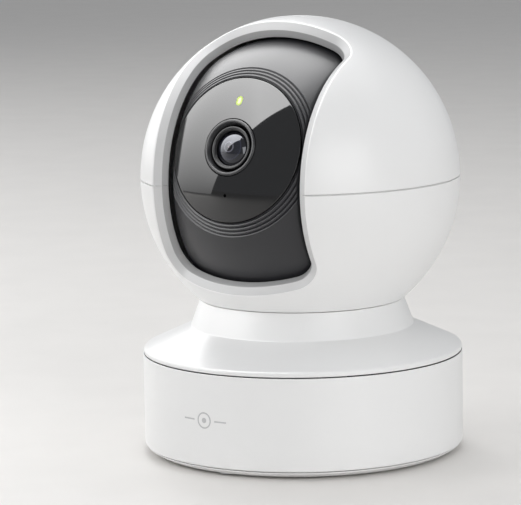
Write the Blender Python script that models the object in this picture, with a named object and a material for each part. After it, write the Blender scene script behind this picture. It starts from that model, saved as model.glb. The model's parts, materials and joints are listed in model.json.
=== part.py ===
"""Indoor pan-tilt camera: a ball head that pans on a short round base, with a lens drum that tilts
inside the ball. Metres, +Z up. The origin is at the centre of the base's underside and the head
faces -Y. Run it with: blender --background --python part.py"""

from math import acos, asin, cos, degrees, hypot, pi, radians, sin, sqrt, tan

import bmesh
import bpy
from mathutils import Matrix, Vector

MM = 0.001
GAP = 0.3 * MM  # between pieces that meet
ROUND_STEPS = 36  # sides of the largest round pieces

# Base
BASE_RADIUS = 43.3 * MM
BASE_WALL = 2.2 * MM
FOOT_HEIGHT = 0.6 * MM
FOOT_RADIUS = 5.0 * MM
FOOT_CIRCLE = 33.0 * MM
COVER_THICKNESS = 1.5 * MM
COVER_BEVEL = 1.6 * MM
COVER_LIP = 1.0 * MM
HOUSING_HEIGHT = 24.6 * MM
RIM_HEIGHT = 1.1 * MM
SHOULDER_ROUND = 1.6 * MM
SHOULDER_WALL = 2.0 * MM
SCREW_RADIUS = 1.2 * MM
SCREW_HEAD_RADIUS = 2.3 * MM
SCREW_HEAD_HEIGHT = 0.8 * MM
COVER_SCREW_LENGTH = 8.0 * MM
COVER_BOSS_RADIUS = 3.4 * MM
COVER_BOSS_HEIGHT = 14.0 * MM
COVER_SCREW_ANGLES = (90 + 60, 90 - 60, 270)

# Neck
NECK_TOP_RADIUS = 27.6 * MM
NECK_HEIGHT = 7.0 * MM
NECK_FLARE = 2.3 * MM

# Ball
BALL_RADIUS = 43.0 * MM
BALL_WALL = 2.2 * MM
BALL_NECK_GAP = 0.4 * MM
SKIRT_STEP = 2.0 * MM
SKIRT_CLEARANCE = 0.6 * MM
TONGUE_THICKNESS = 1.1 * MM
TONGUE_DEPTH = 2.5 * MM
TONGUE_RISE = 8.0 * MM
TONGUE_CLEARANCE = 0.55 * MM

# Opening in the ball, angles about the X axis through the ball's centre, from straight ahead
OPENING_HALF_WIDTH = 23.6 * MM
OPENING_BOTTOM = -41.0
OPENING_TOP = 78.5
OPENING_CORNER = 6.0 * MM
LIP_DEPTH = 4.2 * MM
LIP_STEP_IN = 2.2 * MM
LIP_LAND_IN = 1.0 * MM
LIP_FLANGE = 3.4 * MM

# Lens drum
DRUM_TILT = 18.0  # degrees that the lens looks up at rest
DRUM_CLEARANCE = 0.8 * MM
DRUM_SIDE_CLEARANCE = 0.75 * MM
DRUM_EDGE_ROUND = 2.0 * MM
DRUM_WALL = 1.8 * MM
DRUM_FRONT_PLATE = 1.6 * MM
REAR_COVER_THICKNESS = 1.5 * MM
REAR_COVER_SCREW_INSET = 4.0 * MM  # from the cover's ends
REAR_COVER_POST_WALL = 1.4 * MM

# Window and lens
WINDOW_MARGIN = 0.45 * MM  # to the drum's sides
WINDOW_RIM_HEIGHT = 2.4 * MM
WINDOW_DOME = 4.0 * MM
WINDOW_LAND = 3.0 * MM
HOOD_RADIUS = 7.5 * MM
HOOD_WALL = 1.5 * MM
HOOD_LENGTH = 12.0 * MM
BARREL_LENGTH = 24.0 * MM
BARREL_WALL = 1.3 * MM
GLASS_RECESS = 3.0 * MM  # of its seat, behind the barrel's front
LIGHT_RADIUS = 1.1 * MM
LIGHT_MARGIN = 1.5 * MM
MIC_RADIUS = 2.0 * MM
MIC_HEIGHT = 1.6 * MM
MIC_HOLE_RADIUS = 0.5 * MM
LED_HEIGHT = 1.8 * MM
BOARD_THICKNESS = 1.2 * MM
SENSOR_BOARD_SIDE = 24.0 * MM
MAIN_BOARD_MARGIN = 2.85 * MM
MAIN_BOARD_END_GAP = 1.4 * MM  # to the posts of the drum's rear cover
MAIN_BOARD_DEPTH = 0.6 * MM
INFRARED_BOARD_DROP = 5.6 * MM  # behind the window's seat
INFRARED_LED_RADIUS = 1.5 * MM
INFRARED_LED_COUNT = 6

# Card slot and reset button, under the lens
CARD_WIDTH = 11.4 * MM
CARD_THICKNESS = 1.0 * MM
CARD_ANGLE = -66.0
CARD_READER_LENGTH = 14.0 * MM
CARD_READER_GAP = 1.2 * MM  # to the drum's wall
BUTTON_ANGLE = -78.0
BUTTON_RADIUS = 1.5 * MM
BUTTON_LENGTH = 4.2 * MM
BUTTON_TRAVEL = 0.5 * MM
SWITCH_SIDE = 4.5 * MM
SWITCH_HEIGHT = 3.0 * MM

# Tilt drive
TOOTH_MODULE = 0.8 * MM
PINION_TEETH = 10
SECTOR_TEETH = 40
SECTOR_SPAN = 144.0
GEAR_WIDTH = 2.5 * MM
TRUNNION_RADIUS = 3.0 * MM
TRUNNION_HEAD = 1.2 * MM
TRUNNION_HEAD_RADIUS = 1.5 * TRUNNION_RADIUS
TRUNNION_CLEARANCE = 0.2 * MM
BRACKET_THICKNESS = 2.0 * MM
BRACKET_WIDTH = 15.0 * MM
TILT_MOTOR_RADIUS = 8.0 * MM
TILT_MOTOR_LENGTH = 16.0 * MM
SHAFT_RADIUS = 1.5 * MM
SPEAKER_RADIUS = 10.0 * MM
SPEAKER_DEPTH = 7.0 * MM
SPEAKER_DROP = 19.0  # degrees that the loudspeaker and its grille look down, at the back
ANTENNA_INSET = 7.8 * MM
GRILLE_HOLE_RADIUS = 0.9 * MM
GRILLE_RING_RADIUS = 4.2 * MM

# Pan drive
PAN_TEETH = 50
PAN_GEAR_WIDTH = 3.4 * MM
HUB_RADIUS = 11.0 * MM
HUB_BORE = 7.5 * MM
HUB_CLEARANCE = 0.4 * MM
FLOOR_BOSS_RADIUS = 16.0 * MM
DECK_RISE = 1.5 * MM
DECK_THICKNESS = 2.4 * MM
WASHER_CLEARANCE = 0.15 * MM
WASHER_THICKNESS = 0.9 * MM
PAN_MOTOR_RADIUS = 14.0 * MM
PAN_MOTOR_HEIGHT = 17.5 * MM
PAN_MOTOR_DROP = 3.4 * MM  # below the gear
PAN_MOTOR_OFFSET = 8.0 * MM  # from its centre to its shaft
MOTOR_POST_CLEARANCE = 0.7 * MM
MOTOR_EAR_RADIUS = 3.2 * MM
MOTOR_EAR_THICKNESS = 1.2 * MM
MOTOR_POST_RADIUS = 2.4 * MM

# Power jack
JACK_WIDTH = 9.0 * MM
JACK_LENGTH = 12.0 * MM
JACK_HEIGHT = 12.5 * MM  # of its axis
JACK_BORE_RADIUS = 3.1 * MM
JACK_BORE_DEPTH = 9.6 * MM
JACK_PIN_RADIUS = 0.9 * MM
JACK_PIN_LENGTH = 5.0 * MM
BASE_BOARD_WIDTH = 30.0 * MM
BASE_BOARD_DEPTH = 16.0 * MM

# Worked out from the sizes above
COVER_TOP = FOOT_HEIGHT + COVER_THICKNESS
HOUSING_BOTTOM = COVER_TOP - 0.1 * MM + GAP
HOUSING_TOP = HOUSING_BOTTOM + HOUSING_HEIGHT
SHOULDER_BOTTOM = HOUSING_TOP + GAP
SHOULDER_EDGE = SHOULDER_BOTTOM + RIM_HEIGHT
SKIRT_RADIUS = BALL_RADIUS - SKIRT_STEP
DECK_BOTTOM = SHOULDER_EDGE + DECK_RISE
DECK_TOP = DECK_BOTTOM + DECK_THICKNESS
FLOOR_BOTTOM = DECK_TOP + WASHER_THICKNESS + 2 * WASHER_CLEARANCE
BALL_HEIGHT = FLOOR_BOTTOM + SKIRT_RADIUS  # of its centre
BOWL_RADIUS = SKIRT_RADIUS + SKIRT_CLEARANCE
BALL_CUT = -sqrt(BALL_RADIUS**2 - (NECK_TOP_RADIUS + 0.2 * MM) ** 2)  # from the ball's centre
NECK_TOP = BALL_HEIGHT + BALL_CUT - BALL_NECK_GAP
NECK_FOOT = NECK_TOP - NECK_HEIGHT
DECK_RADIUS = FLOOR_BOSS_RADIUS + HUB_CLEARANCE + GAP
PAN_GEAR_TOP = DECK_BOTTOM - GAP
PAN_GEAR_BOTTOM = PAN_GEAR_TOP - PAN_GEAR_WIDTH
PAN_DISTANCE = TOOTH_MODULE * (PAN_TEETH + PINION_TEETH) / 2
PAN_MOTOR_TOP = PAN_GEAR_BOTTOM - PAN_MOTOR_DROP
PAN_MOTOR_Y = -(PAN_DISTANCE - PAN_MOTOR_OFFSET)
TOOTH_HEIGHT = 0.75 * TOOTH_MODULE
POST_CIRCLE = TOOTH_MODULE * PAN_TEETH / 2 + TOOTH_HEIGHT + MOTOR_POST_RADIUS + MOTOR_POST_CLEARANCE
MOTOR_EAR_SPACING = sqrt(POST_CIRCLE**2 - PAN_MOTOR_Y**2)
LIP_RADIUS = BALL_RADIUS - LIP_DEPTH
DRUM_RADIUS = LIP_RADIUS - DRUM_CLEARANCE
DRUM_HALF_WIDTH = OPENING_HALF_WIDTH - LIP_STEP_IN - LIP_LAND_IN - DRUM_SIDE_CLEARANCE
DRUM_BACK = TRUNNION_HEAD_RADIUS + 2 * GAP + REAR_COVER_THICKNESS + TRUNNION_CLEARANCE
WINDOW_RADIUS = DRUM_HALF_WIDTH - WINDOW_MARGIN
WINDOW_RIM_DEPTH = sqrt(DRUM_RADIUS**2 - WINDOW_RADIUS**2)
WINDOW_SEAT_DEPTH = WINDOW_RIM_DEPTH - WINDOW_RIM_HEIGHT
FRONT_BORE = WINDOW_RADIUS - WINDOW_LAND - MM
LIGHT_OFFSET = FRONT_BORE - LIGHT_RADIUS - LIGHT_MARGIN
INFRARED_BOARD_DEPTH = WINDOW_SEAT_DEPTH - INFRARED_BOARD_DROP
INFRARED_CIRCLE = (HOOD_RADIUS + GAP + FRONT_BORE) / 2
REAR_COVER_HALF_WIDTH = DRUM_HALF_WIDTH - DRUM_WALL - GAP
REAR_COVER_HALF_HEIGHT = sqrt((DRUM_RADIUS - DRUM_WALL - GAP) ** 2 - REAR_COVER_HALF_WIDTH**2) - MM
REAR_COVER_SCREW_HEIGHT = REAR_COVER_HALF_HEIGHT - REAR_COVER_SCREW_INSET
REAR_COVER_POST_RADIUS = SCREW_RADIUS + GAP + REAR_COVER_POST_WALL
MAIN_BOARD_WIDTH = 2 * (DRUM_HALF_WIDTH - DRUM_WALL - MAIN_BOARD_MARGIN)
MAIN_BOARD_HEIGHT = 2 * (REAR_COVER_SCREW_HEIGHT - REAR_COVER_POST_RADIUS - MAIN_BOARD_END_GAP)
TILT_DISTANCE = TOOTH_MODULE * (SECTOR_TEETH + PINION_TEETH) / 2
GEAR_X = DRUM_HALF_WIDTH + GAP
BRACKET_X = GEAR_X + GEAR_WIDTH + 0.5 * MM
COVER_SCREW_CIRCLE = BASE_RADIUS - BASE_WALL - COVER_BOSS_RADIUS + 0.6 * MM
BASE_BOARD_BOTTOM = JACK_HEIGHT - JACK_WIDTH / 2 - GAP - BOARD_THICKNESS

# Gears whose fans of thin triangles the exact solver can't join
FINE_TOOTHED = ("pan_gear", "pan_pinion", "tilt_pinion", "sector_gear")

# Colours
WHITE = (0.83, 0.83, 0.82)
DRUM_GREY = (0.052, 0.052, 0.055)
BLACK = (0.010, 0.010, 0.011)
RUBBER = (0.30, 0.30, 0.30)
STEEL = (0.60, 0.60, 0.60)
BRASS = (0.62, 0.48, 0.22)
BOARD_GREEN = (0.03, 0.16, 0.07)
NYLON = (0.72, 0.71, 0.66)
GLASS = (0.03, 0.04, 0.08)
LIGHT_GREEN = (0.45, 0.80, 0.12)


def clear_scene():
    for item in list(bpy.data.objects):
        bpy.data.objects.remove(item, do_unlink=True)


def material(name, colour, roughness=0.5, metallic=0.0):
    made = bpy.data.materials.new(name)
    made.use_nodes = True
    shader = made.node_tree.nodes["Principled BSDF"]
    shader.inputs["Base Color"].default_value = (*colour, 1.0)
    shader.inputs["Roughness"].default_value = roughness
    shader.inputs["Metallic"].default_value = metallic
    made.diffuse_color = (*colour, 1.0)
    return made


def make_object(name, mesh, finish=None, parent=None):
    """A new object, smooth on its round faces, placed in its parent's frame."""
    mesh.shade_smooth()
    mesh.set_sharp_from_angle(angle=radians(32))
    made = bpy.data.objects.new(name, mesh)
    bpy.context.scene.collection.objects.link(made)
    made.parent = parent
    if finish:
        mesh.materials.append(finish)
    return made


def mesh_of(name, points, faces):
    mesh = bpy.data.meshes.new(name)
    mesh.from_pydata(points, [], faces)
    shape = bmesh.new()
    shape.from_mesh(mesh)
    bmesh.ops.recalc_face_normals(shape, faces=shape.faces)
    shape.to_mesh(mesh)
    shape.free()
    return mesh


def turned(name, outline, steps=ROUND_STEPS, axis="Z", at=(0, 0, 0)):
    """The closed outline of (radius, height) points, turned round an axis. Radius 0 is a pole."""
    points, rings = [], []
    for radius, height in outline:
        count = 1 if radius < 1e-7 else steps
        rings.append([len(points) + i for i in range(count)])
        for i in range(count):
            angle = 2 * pi * i / steps
            points.append(Vector((radius * cos(angle), radius * sin(angle), height)))
    faces = []
    for ring, following in zip(rings, rings[1:] + rings[:1]):
        for i in range(steps):
            corners = [
                ring[i % len(ring)],
                ring[(i + 1) % len(ring)],
                following[(i + 1) % len(following)],
                following[i % len(following)],
            ]
            corners = list(dict.fromkeys(corners))
            if len(corners) > 2:
                faces.append(corners)
    turn = {
        "X": Matrix.Rotation(pi / 2, 3, "Y"),  # height runs along +X
        "-Y": Matrix.Rotation(pi / 2, 3, "X"),  # height runs along -Y
        "Y": Matrix.Rotation(-pi / 2, 3, "X"),
        "Z": Matrix.Identity(3),
    }[axis]
    return mesh_of(name, [turn @ point + Vector(at) for point in points], faces)


def arc(radius, start, end, steps, centre=(0.0, 0.0)):
    """Points from one angle to another, in degrees, anticlockwise from +X."""
    angles = [radians(start + (end - start) * i / steps) for i in range(steps + 1)]
    return [(centre[0] + radius * cos(a), centre[1] + radius * sin(a)) for a in angles]


def disc(name, radius, low, high, steps=24, axis="Z", at=(0, 0, 0)):
    return turned(name, [(0, low), (radius, low), (radius, high), (0, high)], steps, axis, at)


def ring(name, inner, outer, low, high, steps=32, axis="Z", at=(0, 0, 0)):
    outline = [(inner, low), (outer, low), (outer, high), (inner, high)]
    return turned(name, outline, steps, axis, at)


def extruded(name, outline, low, high):
    """A flat outline of (x, y) points that the origin sees all round, raised from low to high."""
    count = len(outline)
    points = [(x, y, low) for x, y in outline] + [(x, y, high) for x, y in outline]
    points += [(0, 0, low), (0, 0, high)]
    faces = []
    for i in range(count):
        after = (i + 1) % count
        faces.append([i, after, count + after, count + i])
        faces.append([after, i, 2 * count])
        faces.append([count + i, count + after, 2 * count + 1])
    return mesh_of(name, points, faces)


def arc_strip(name, inner, outer, start, end, low, high, step=12):
    """A band between two radii, from one angle to another, raised from low to high."""
    count = round((end - start) / step) + 1
    points = []
    for i in range(count):
        turn = radians(start + step * i)
        for radius, height in ((inner, low), (outer, low), (outer, high), (inner, high)):
            points.append((radius * cos(turn), radius * sin(turn), height))
    faces = [[0, 1, 2, 3], [4 * count - 1, 4 * count - 2, 4 * count - 3, 4 * count - 4]]
    for i in range(count - 1):
        for k in range(4):
            after = (k + 1) % 4
            faces.append([4 * i + k, 4 * i + after, 4 * i + 4 + after, 4 * i + 4 + k])
    return mesh_of(name, points, faces)


def block(name, low, high, bevel=0.0):
    """A box between two corners, its edges cut back by the bevel."""
    shape = bmesh.new()
    size = Vector(high) - Vector(low)
    place = Matrix.Translation((Vector(high) + Vector(low)) / 2) @ Matrix.Diagonal((*size, 1))
    bmesh.ops.create_cube(shape, size=1.0, matrix=place)
    if bevel:
        bmesh.ops.bevel(shape, geom=shape.edges[:], offset=bevel, segments=1, affect="EDGES")
    mesh = bpy.data.meshes.new(name)
    shape.to_mesh(mesh)
    shape.free()
    return mesh


def moved(mesh, matrix):
    mesh.transform(matrix)
    return mesh


def combine(target, mesh, operation):
    """A Boolean of the target with a helper made from the mesh, in the target's own frame."""
    helper = make_object(mesh.name, mesh, parent=target.parent)
    helper.hide_render = True
    helper.display_type = "WIRE"
    modifier = target.modifiers.new(mesh.name, "BOOLEAN")
    modifier.operation = operation
    modifier.solver = "MANIFOLD" if target.name in FINE_TOOTHED else "EXACT"
    modifier.object = helper


def cut(target, mesh):
    combine(target, mesh, "DIFFERENCE")


def add(target, mesh):
    combine(target, mesh, "UNION")


def keep_only(target, mesh):
    combine(target, mesh, "INTERSECT")


def tooth_outline(teeth, first_angle, count=0):
    """Involute teeth of 20 degrees, thinned for backlash, as (x, y) points around the origin."""
    pitch = TOOTH_MODULE * teeth / 2
    base = pitch * cos(radians(20))
    tip = pitch + TOOTH_HEIGHT
    root = pitch - 1.2 * TOOTH_MODULE
    backlash = 0.12 * TOOTH_MODULE

    def half_angle(radius):
        pressure = acos(min(1.0, base / radius))
        spread = tan(radians(20)) - radians(20) - (tan(pressure) - pressure)
        return pi / (2 * teeth) - backlash / pitch + spread

    radii = [root, tip] if base < root else [root, base, tip]
    flank = [(radius, half_angle(max(radius, base))) for radius in radii]
    outline = []
    for i in range(round(count or teeth)):
        middle = radians(first_angle) + 2 * pi * i / teeth
        for radius, half in flank:
            outline.append((radius * cos(middle - half), radius * sin(middle - half)))
        for radius, half in reversed(flank):
            outline.append((radius * cos(middle + half), radius * sin(middle + half)))
    return outline


def screw(name, place, finish, length, parent=None):
    """A pan-head screw whose head is above the local origin and whose thread runs down from it."""
    outline = [
        (0, -length),
        (SCREW_RADIUS, -length),
        (SCREW_RADIUS, 0),
        (SCREW_HEAD_RADIUS, 0),
        (SCREW_HEAD_RADIUS, SCREW_HEAD_HEIGHT),
        (0, SCREW_HEAD_HEIGHT),
    ]
    made = make_object(name, turned(name, outline, 12), finish, parent)
    made.matrix_local = place
    return made


def around(circle, angle, height):
    return Vector((circle * cos(radians(angle)), circle * sin(radians(angle)), height))


def build_base(look):
    """The parts that stand still."""
    inner = BASE_RADIUS - BASE_WALL
    cover = make_object(
        "base_bottom_cover",
        turned(
            "base_bottom_cover",
            [
                (0, FOOT_HEIGHT),
                (BASE_RADIUS - COVER_BEVEL - 0.9 * MM, FOOT_HEIGHT),
                (BASE_RADIUS - 0.2 * MM, COVER_TOP - 0.1 * MM),
                (inner - GAP, COVER_TOP - 0.1 * MM),
                (inner - GAP, COVER_TOP + COVER_LIP),
                (inner - 1.6 * MM, COVER_TOP + COVER_LIP),
                (inner - 1.6 * MM, COVER_TOP - 0.1 * MM),
                (0, COVER_TOP - 0.1 * MM),
            ],
        ),
        look["white"],
    )
    for i in range(4):
        place = around(FOOT_CIRCLE, 45 + 90 * i, 0)
        recess = disc("foot_recess", FOOT_RADIUS + GAP, -MM, FOOT_HEIGHT + 0.6 * MM, 16, at=place)
        cut(cover, recess)
        pad = disc(f"foot_pad_{i + 1}", FOOT_RADIUS, 0, FOOT_HEIGHT + 0.3 * MM, 16, at=place)
        make_object(f"foot_pad_{i + 1}", pad, look["rubber"])

    housing = make_object(
        "base_housing",
        ring("base_housing", inner, BASE_RADIUS, HOUSING_BOTTOM, HOUSING_TOP, ROUND_STEPS),
        look["white"],
    )
    for i, angle in enumerate(COVER_SCREW_ANGLES):
        place = around(COVER_SCREW_CIRCLE, angle, 0)
        bottom = COVER_TOP + COVER_LIP + GAP
        boss = disc("boss", COVER_BOSS_RADIUS, bottom, bottom + COVER_BOSS_HEIGHT, 14, at=place)
        add(housing, boss)
        pilot = disc("pilot", SCREW_RADIUS + GAP, bottom - MM, bottom + COVER_SCREW_LENGTH, 12, at=place)
        cut(housing, pilot)
        cut(cover, disc("screw_hole", SCREW_RADIUS + GAP, -MM, 5 * MM, 12, at=place))
        sink = FOOT_HEIGHT + SCREW_HEAD_HEIGHT
        cut(cover, disc("screw_sink", SCREW_HEAD_RADIUS + GAP, -MM, sink, 12, at=place))
        turn = Matrix.Translation(place + Vector((0, 0, sink - GAP))) @ Matrix.Rotation(pi, 4, "X")
        screw(f"cover_screw_{i + 1}", turn, look["steel"], COVER_SCREW_LENGTH)
    half = JACK_WIDTH / 2 + GAP
    window = block(
        "jack_window",
        (-half, inner - 4 * MM, JACK_HEIGHT - half),
        (half, BASE_RADIUS + 5 * MM, JACK_HEIGHT + half),
    )
    cut(housing, window)

    build_shoulder(look)
    build_base_inside(look)


def build_shoulder(look):
    """The sloping top of the base, with the neck and the bowl that the ball turns in."""
    outer = BASE_RADIUS - 0.2 * MM
    round_centre = (outer - SHOULDER_ROUND, SHOULDER_EDGE)
    neck_bottom = NECK_TOP_RADIUS + NECK_FLARE
    inner_top = sqrt(BOWL_RADIUS**2 - (BALL_HEIGHT - NECK_TOP) ** 2)
    bowl_start = degrees(asin((NECK_TOP - BALL_HEIGHT) / BOWL_RADIUS))
    bowl_end = -degrees(acos(DECK_RADIUS / BOWL_RADIUS))
    wall = SHOULDER_WALL
    slope_foot = NECK_FOOT + 0.4 * MM
    outline = [(inner_top, NECK_TOP), (NECK_TOP_RADIUS, NECK_TOP), (neck_bottom, NECK_FOOT)]
    outline = outline[::-1]
    bowl = arc(BOWL_RADIUS, bowl_start, bowl_end, 4, (0, BALL_HEIGHT))
    outline += bowl[1:]
    outline += [(DECK_RADIUS, DECK_TOP), (HUB_RADIUS + HUB_CLEARANCE, DECK_TOP)]
    outline += [(HUB_RADIUS + HUB_CLEARANCE, DECK_BOTTOM), (DECK_RADIUS + wall, DECK_BOTTOM)]
    outline += [
        (DECK_RADIUS + wall, bowl[-1][1] - wall),
        (bowl[2][0], bowl[2][1] - wall - 0.4 * MM),
        (neck_bottom - wall, NECK_FOOT - 0.6 * MM),
        (neck_bottom - 0.6 * MM, slope_foot - wall - 2.0 * MM),
        (outer - SHOULDER_ROUND - wall, SHOULDER_EDGE + 0.2 * MM),
        (outer - wall, SHOULDER_BOTTOM + RIM_HEIGHT / 2),
        (outer - wall, SHOULDER_BOTTOM),
        (outer, SHOULDER_BOTTOM),
    ]
    outline += arc(SHOULDER_ROUND, 0, 70, 4, round_centre)
    shoulder = make_object("base_shoulder", turned("base_shoulder", outline), look["white"])
    for side in (-1, 1):
        place = (side * MOTOR_EAR_SPACING, PAN_MOTOR_Y, 0)
        near = hypot(MOTOR_EAR_SPACING, PAN_MOTOR_Y) - MOTOR_POST_RADIUS
        roof = BALL_HEIGHT - sqrt(BOWL_RADIUS**2 - near**2) - 0.8 * MM
        post = disc("motor_post", MOTOR_POST_RADIUS, PAN_MOTOR_TOP + GAP, roof, 12, at=place)
        add(shoulder, post)
        top = PAN_MOTOR_TOP + 5 * MM
        hole = disc("motor_pilot", SCREW_RADIUS + GAP, PAN_MOTOR_TOP, top, 12, at=place)
        cut(shoulder, hole)


def build_base_inside(look):
    washer = ring(
        "slew_washer",
        HUB_RADIUS + HUB_CLEARANCE,
        FLOOR_BOSS_RADIUS - GAP,
        DECK_TOP + WASHER_CLEARANCE,
        DECK_TOP + WASHER_CLEARANCE + WASHER_THICKNESS,
    )
    make_object("slew_washer", washer, look["nylon"])

    bottom = PAN_MOTOR_TOP - PAN_MOTOR_HEIGHT
    can = disc("pan_motor", PAN_MOTOR_RADIUS, bottom, PAN_MOTOR_TOP, 32, at=(0, PAN_MOTOR_Y, 0))
    motor = make_object("pan_motor", can, look["steel"])
    low = PAN_MOTOR_TOP - MOTOR_EAR_THICKNESS
    wide = MOTOR_EAR_SPACING + MOTOR_EAR_RADIUS
    ears = block(
        "motor_ears",
        (-wide, PAN_MOTOR_Y - MOTOR_EAR_RADIUS, low),
        (wide, PAN_MOTOR_Y + MOTOR_EAR_RADIUS, PAN_MOTOR_TOP),
    )
    add(motor, ears)
    for i, side in enumerate((-1, 1)):
        place = Vector((side * MOTOR_EAR_SPACING, PAN_MOTOR_Y, 0))
        hole = disc("ear_hole", SCREW_RADIUS + GAP, low - MM, PAN_MOTOR_TOP + MM, 12, at=place)
        cut(motor, hole)
        turn = Matrix.Translation(place + Vector((0, 0, low - GAP))) @ Matrix.Rotation(pi, 4, "X")
        screw(f"pan_motor_screw_{i + 1}", turn, look["steel"], 5.0 * MM)
    shaft = (0, -PAN_DISTANCE, 0)
    cut(motor, disc("shaft_hole", SHAFT_RADIUS + GAP, PAN_MOTOR_TOP - 3 * MM, 40 * MM, 12, at=shaft))

    rear = BASE_RADIUS - 0.6 * MM
    low = JACK_HEIGHT - JACK_WIDTH / 2
    body = block(
        "dc_jack",
        (-JACK_WIDTH / 2, rear - JACK_LENGTH, low),
        (JACK_WIDTH / 2, rear, low + JACK_WIDTH),
        0.4 * MM,
    )
    jack = make_object("dc_jack", body, look["black"])
    middle = (0, 0, JACK_HEIGHT)
    socket = disc("socket", JACK_BORE_RADIUS, rear - JACK_BORE_DEPTH, rear + MM, 16, "Y", middle)
    cut(jack, socket)
    start = rear - JACK_BORE_DEPTH + GAP
    pin = disc("dc_jack_pin", JACK_PIN_RADIUS, start, start + JACK_PIN_LENGTH, 10, "Y", middle)
    make_object("dc_jack_pin", pin, look["brass"])

    front = rear - 1.6 * MM - BASE_BOARD_DEPTH
    board = block(
        "base_board",
        (-BASE_BOARD_WIDTH / 2, front, BASE_BOARD_BOTTOM),
        (BASE_BOARD_WIDTH / 2, rear - 5.2 * MM, BASE_BOARD_BOTTOM + BOARD_THICKNESS),
    )
    make_object("base_board", board, look["board"])


def build_pan_pinion(look):
    """The motor's own shaft and gear, one piece, turning beside the big gear."""
    axis = bpy.data.objects.new("pan_pinion_axis", None)
    bpy.context.scene.collection.objects.link(axis)
    axis.location = (0, -PAN_DISTANCE, 0)
    teeth = tooth_outline(PINION_TEETH, 90 + 180 / PINION_TEETH)
    wheel = extruded("pan_pinion", teeth, PAN_GEAR_BOTTOM, PAN_GEAR_TOP - GAP)
    pinion = make_object("pan_pinion", wheel, look["nylon"], axis)
    shaft = disc("shaft", SHAFT_RADIUS, PAN_MOTOR_TOP - 2 * MM, PAN_GEAR_BOTTOM + MM, 12)
    add(pinion, shaft)


def opening_ring(radius, inset):
    """The opening's outline at one radius of the ball, set in from its sides by the inset."""
    scale = radius / BALL_RADIUS
    half = OPENING_HALF_WIDTH * scale - inset
    around_x = sqrt(radius**2 - half**2)
    low = radians(OPENING_BOTTOM) * around_x + inset
    high = radians(OPENING_TOP) * around_x - inset
    corner = max(OPENING_CORNER * scale - inset, 1.5 * MM)
    flat = []
    for centre, start in (
        ((half - corner, high - corner), 0),
        ((corner - half, high - corner), 90),
        ((corner - half, low + corner), 180),
        ((half - corner, low + corner), 270),
    ):
        flat += arc(corner, start, start + 90, 3, centre)
    outline = []
    for (x1, s1), (x2, s2) in zip(flat, flat[1:] + flat[:1]):
        steps = max(1, round(hypot(x2 - x1, s2 - s1) / (7 * MM)))
        for i in range(steps):
            x = x1 + (x2 - x1) * i / steps
            angle = (s1 + (s2 - s1) * i / steps) / around_x
            reach = sqrt(radius**2 - x**2)
            outline.append(Vector((x, -reach * cos(angle), BALL_HEIGHT + reach * sin(angle))))
    return outline


def opening_body(name, rings, crown=0.0, heart=0.0):
    """A body carried along the opening's outline, through rings of (radius, inset). With a crown
    and a heart, which are distances from the ball's centre, its ends close on two points there.
    Without them it is a band, and its last ring joins its first."""
    loops = [opening_ring(radius, inset) for radius, inset in rings]
    count = min(len(loop) for loop in loops)
    points, faces = [], []
    for loop in loops:
        points += [loop[round(i * len(loop) / count) % len(loop)] for i in range(count)]
    total = len(points)
    for k in range(len(loops) - 1 if crown else len(loops)):
        for i in range(count):
            after = (i + 1) % count
            low, high = k * count, (k + 1) * count
            faces.append([low + i, low + after, (high + after) % total, (high + i) % total])
    if crown:
        middle = Vector((0, 0, BALL_HEIGHT))
        for first, reach in ((0, crown), (total - count, heart)):
            centre = sum(points[first : first + count], Vector()) / count
            points.append(middle + (centre - middle).normalized() * reach)
            for i in range(count):
                faces.append([len(points) - 1, first + i, first + (i + 1) % count])
    return mesh_of(name, points, faces)


def fit_opening(shell, seam_low, seam_high):
    """Thickens the shell's edge round the opening into a stepped lip, and cuts the opening."""
    buried = BALL_RADIUS - BALL_WALL / 2
    inside = LIP_STEP_IN + LIP_LAND_IN
    lip = opening_body(
        "lip",
        [(buried, inside), (buried, -LIP_FLANGE), (LIP_RADIUS, -LIP_FLANGE), (LIP_RADIUS, inside)],
    )
    half = bpy.data.objects.new("lip_half", lip)
    size = 60 * MM
    bounds = block("lip_bounds", (-size, -size, seam_low), (size, size, seam_high))
    bpy.context.scene.collection.objects.link(half)
    half.hide_render = True
    half.display_type = "WIRE"
    keep_only(half, bounds)
    modifier = shell.modifiers.new("lip", "BOOLEAN")
    modifier.operation = "UNION"
    modifier.object = half
    stopper = opening_body(
        "opening",
        [
            (BALL_RADIUS + 4 * MM, 0),
            (BALL_RADIUS, 0),
            (BALL_RADIUS - LIP_DEPTH / 2, LIP_STEP_IN * 0.6),
            (LIP_RADIUS, LIP_STEP_IN * 0.6 - GAP),
            (LIP_RADIUS - 3 * MM, LIP_STEP_IN * 0.6 - GAP),
        ],
        crown=1.6 * BALL_RADIUS,
        heart=0.2 * BALL_RADIUS,
    )
    cut(shell, stopper)


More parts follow.
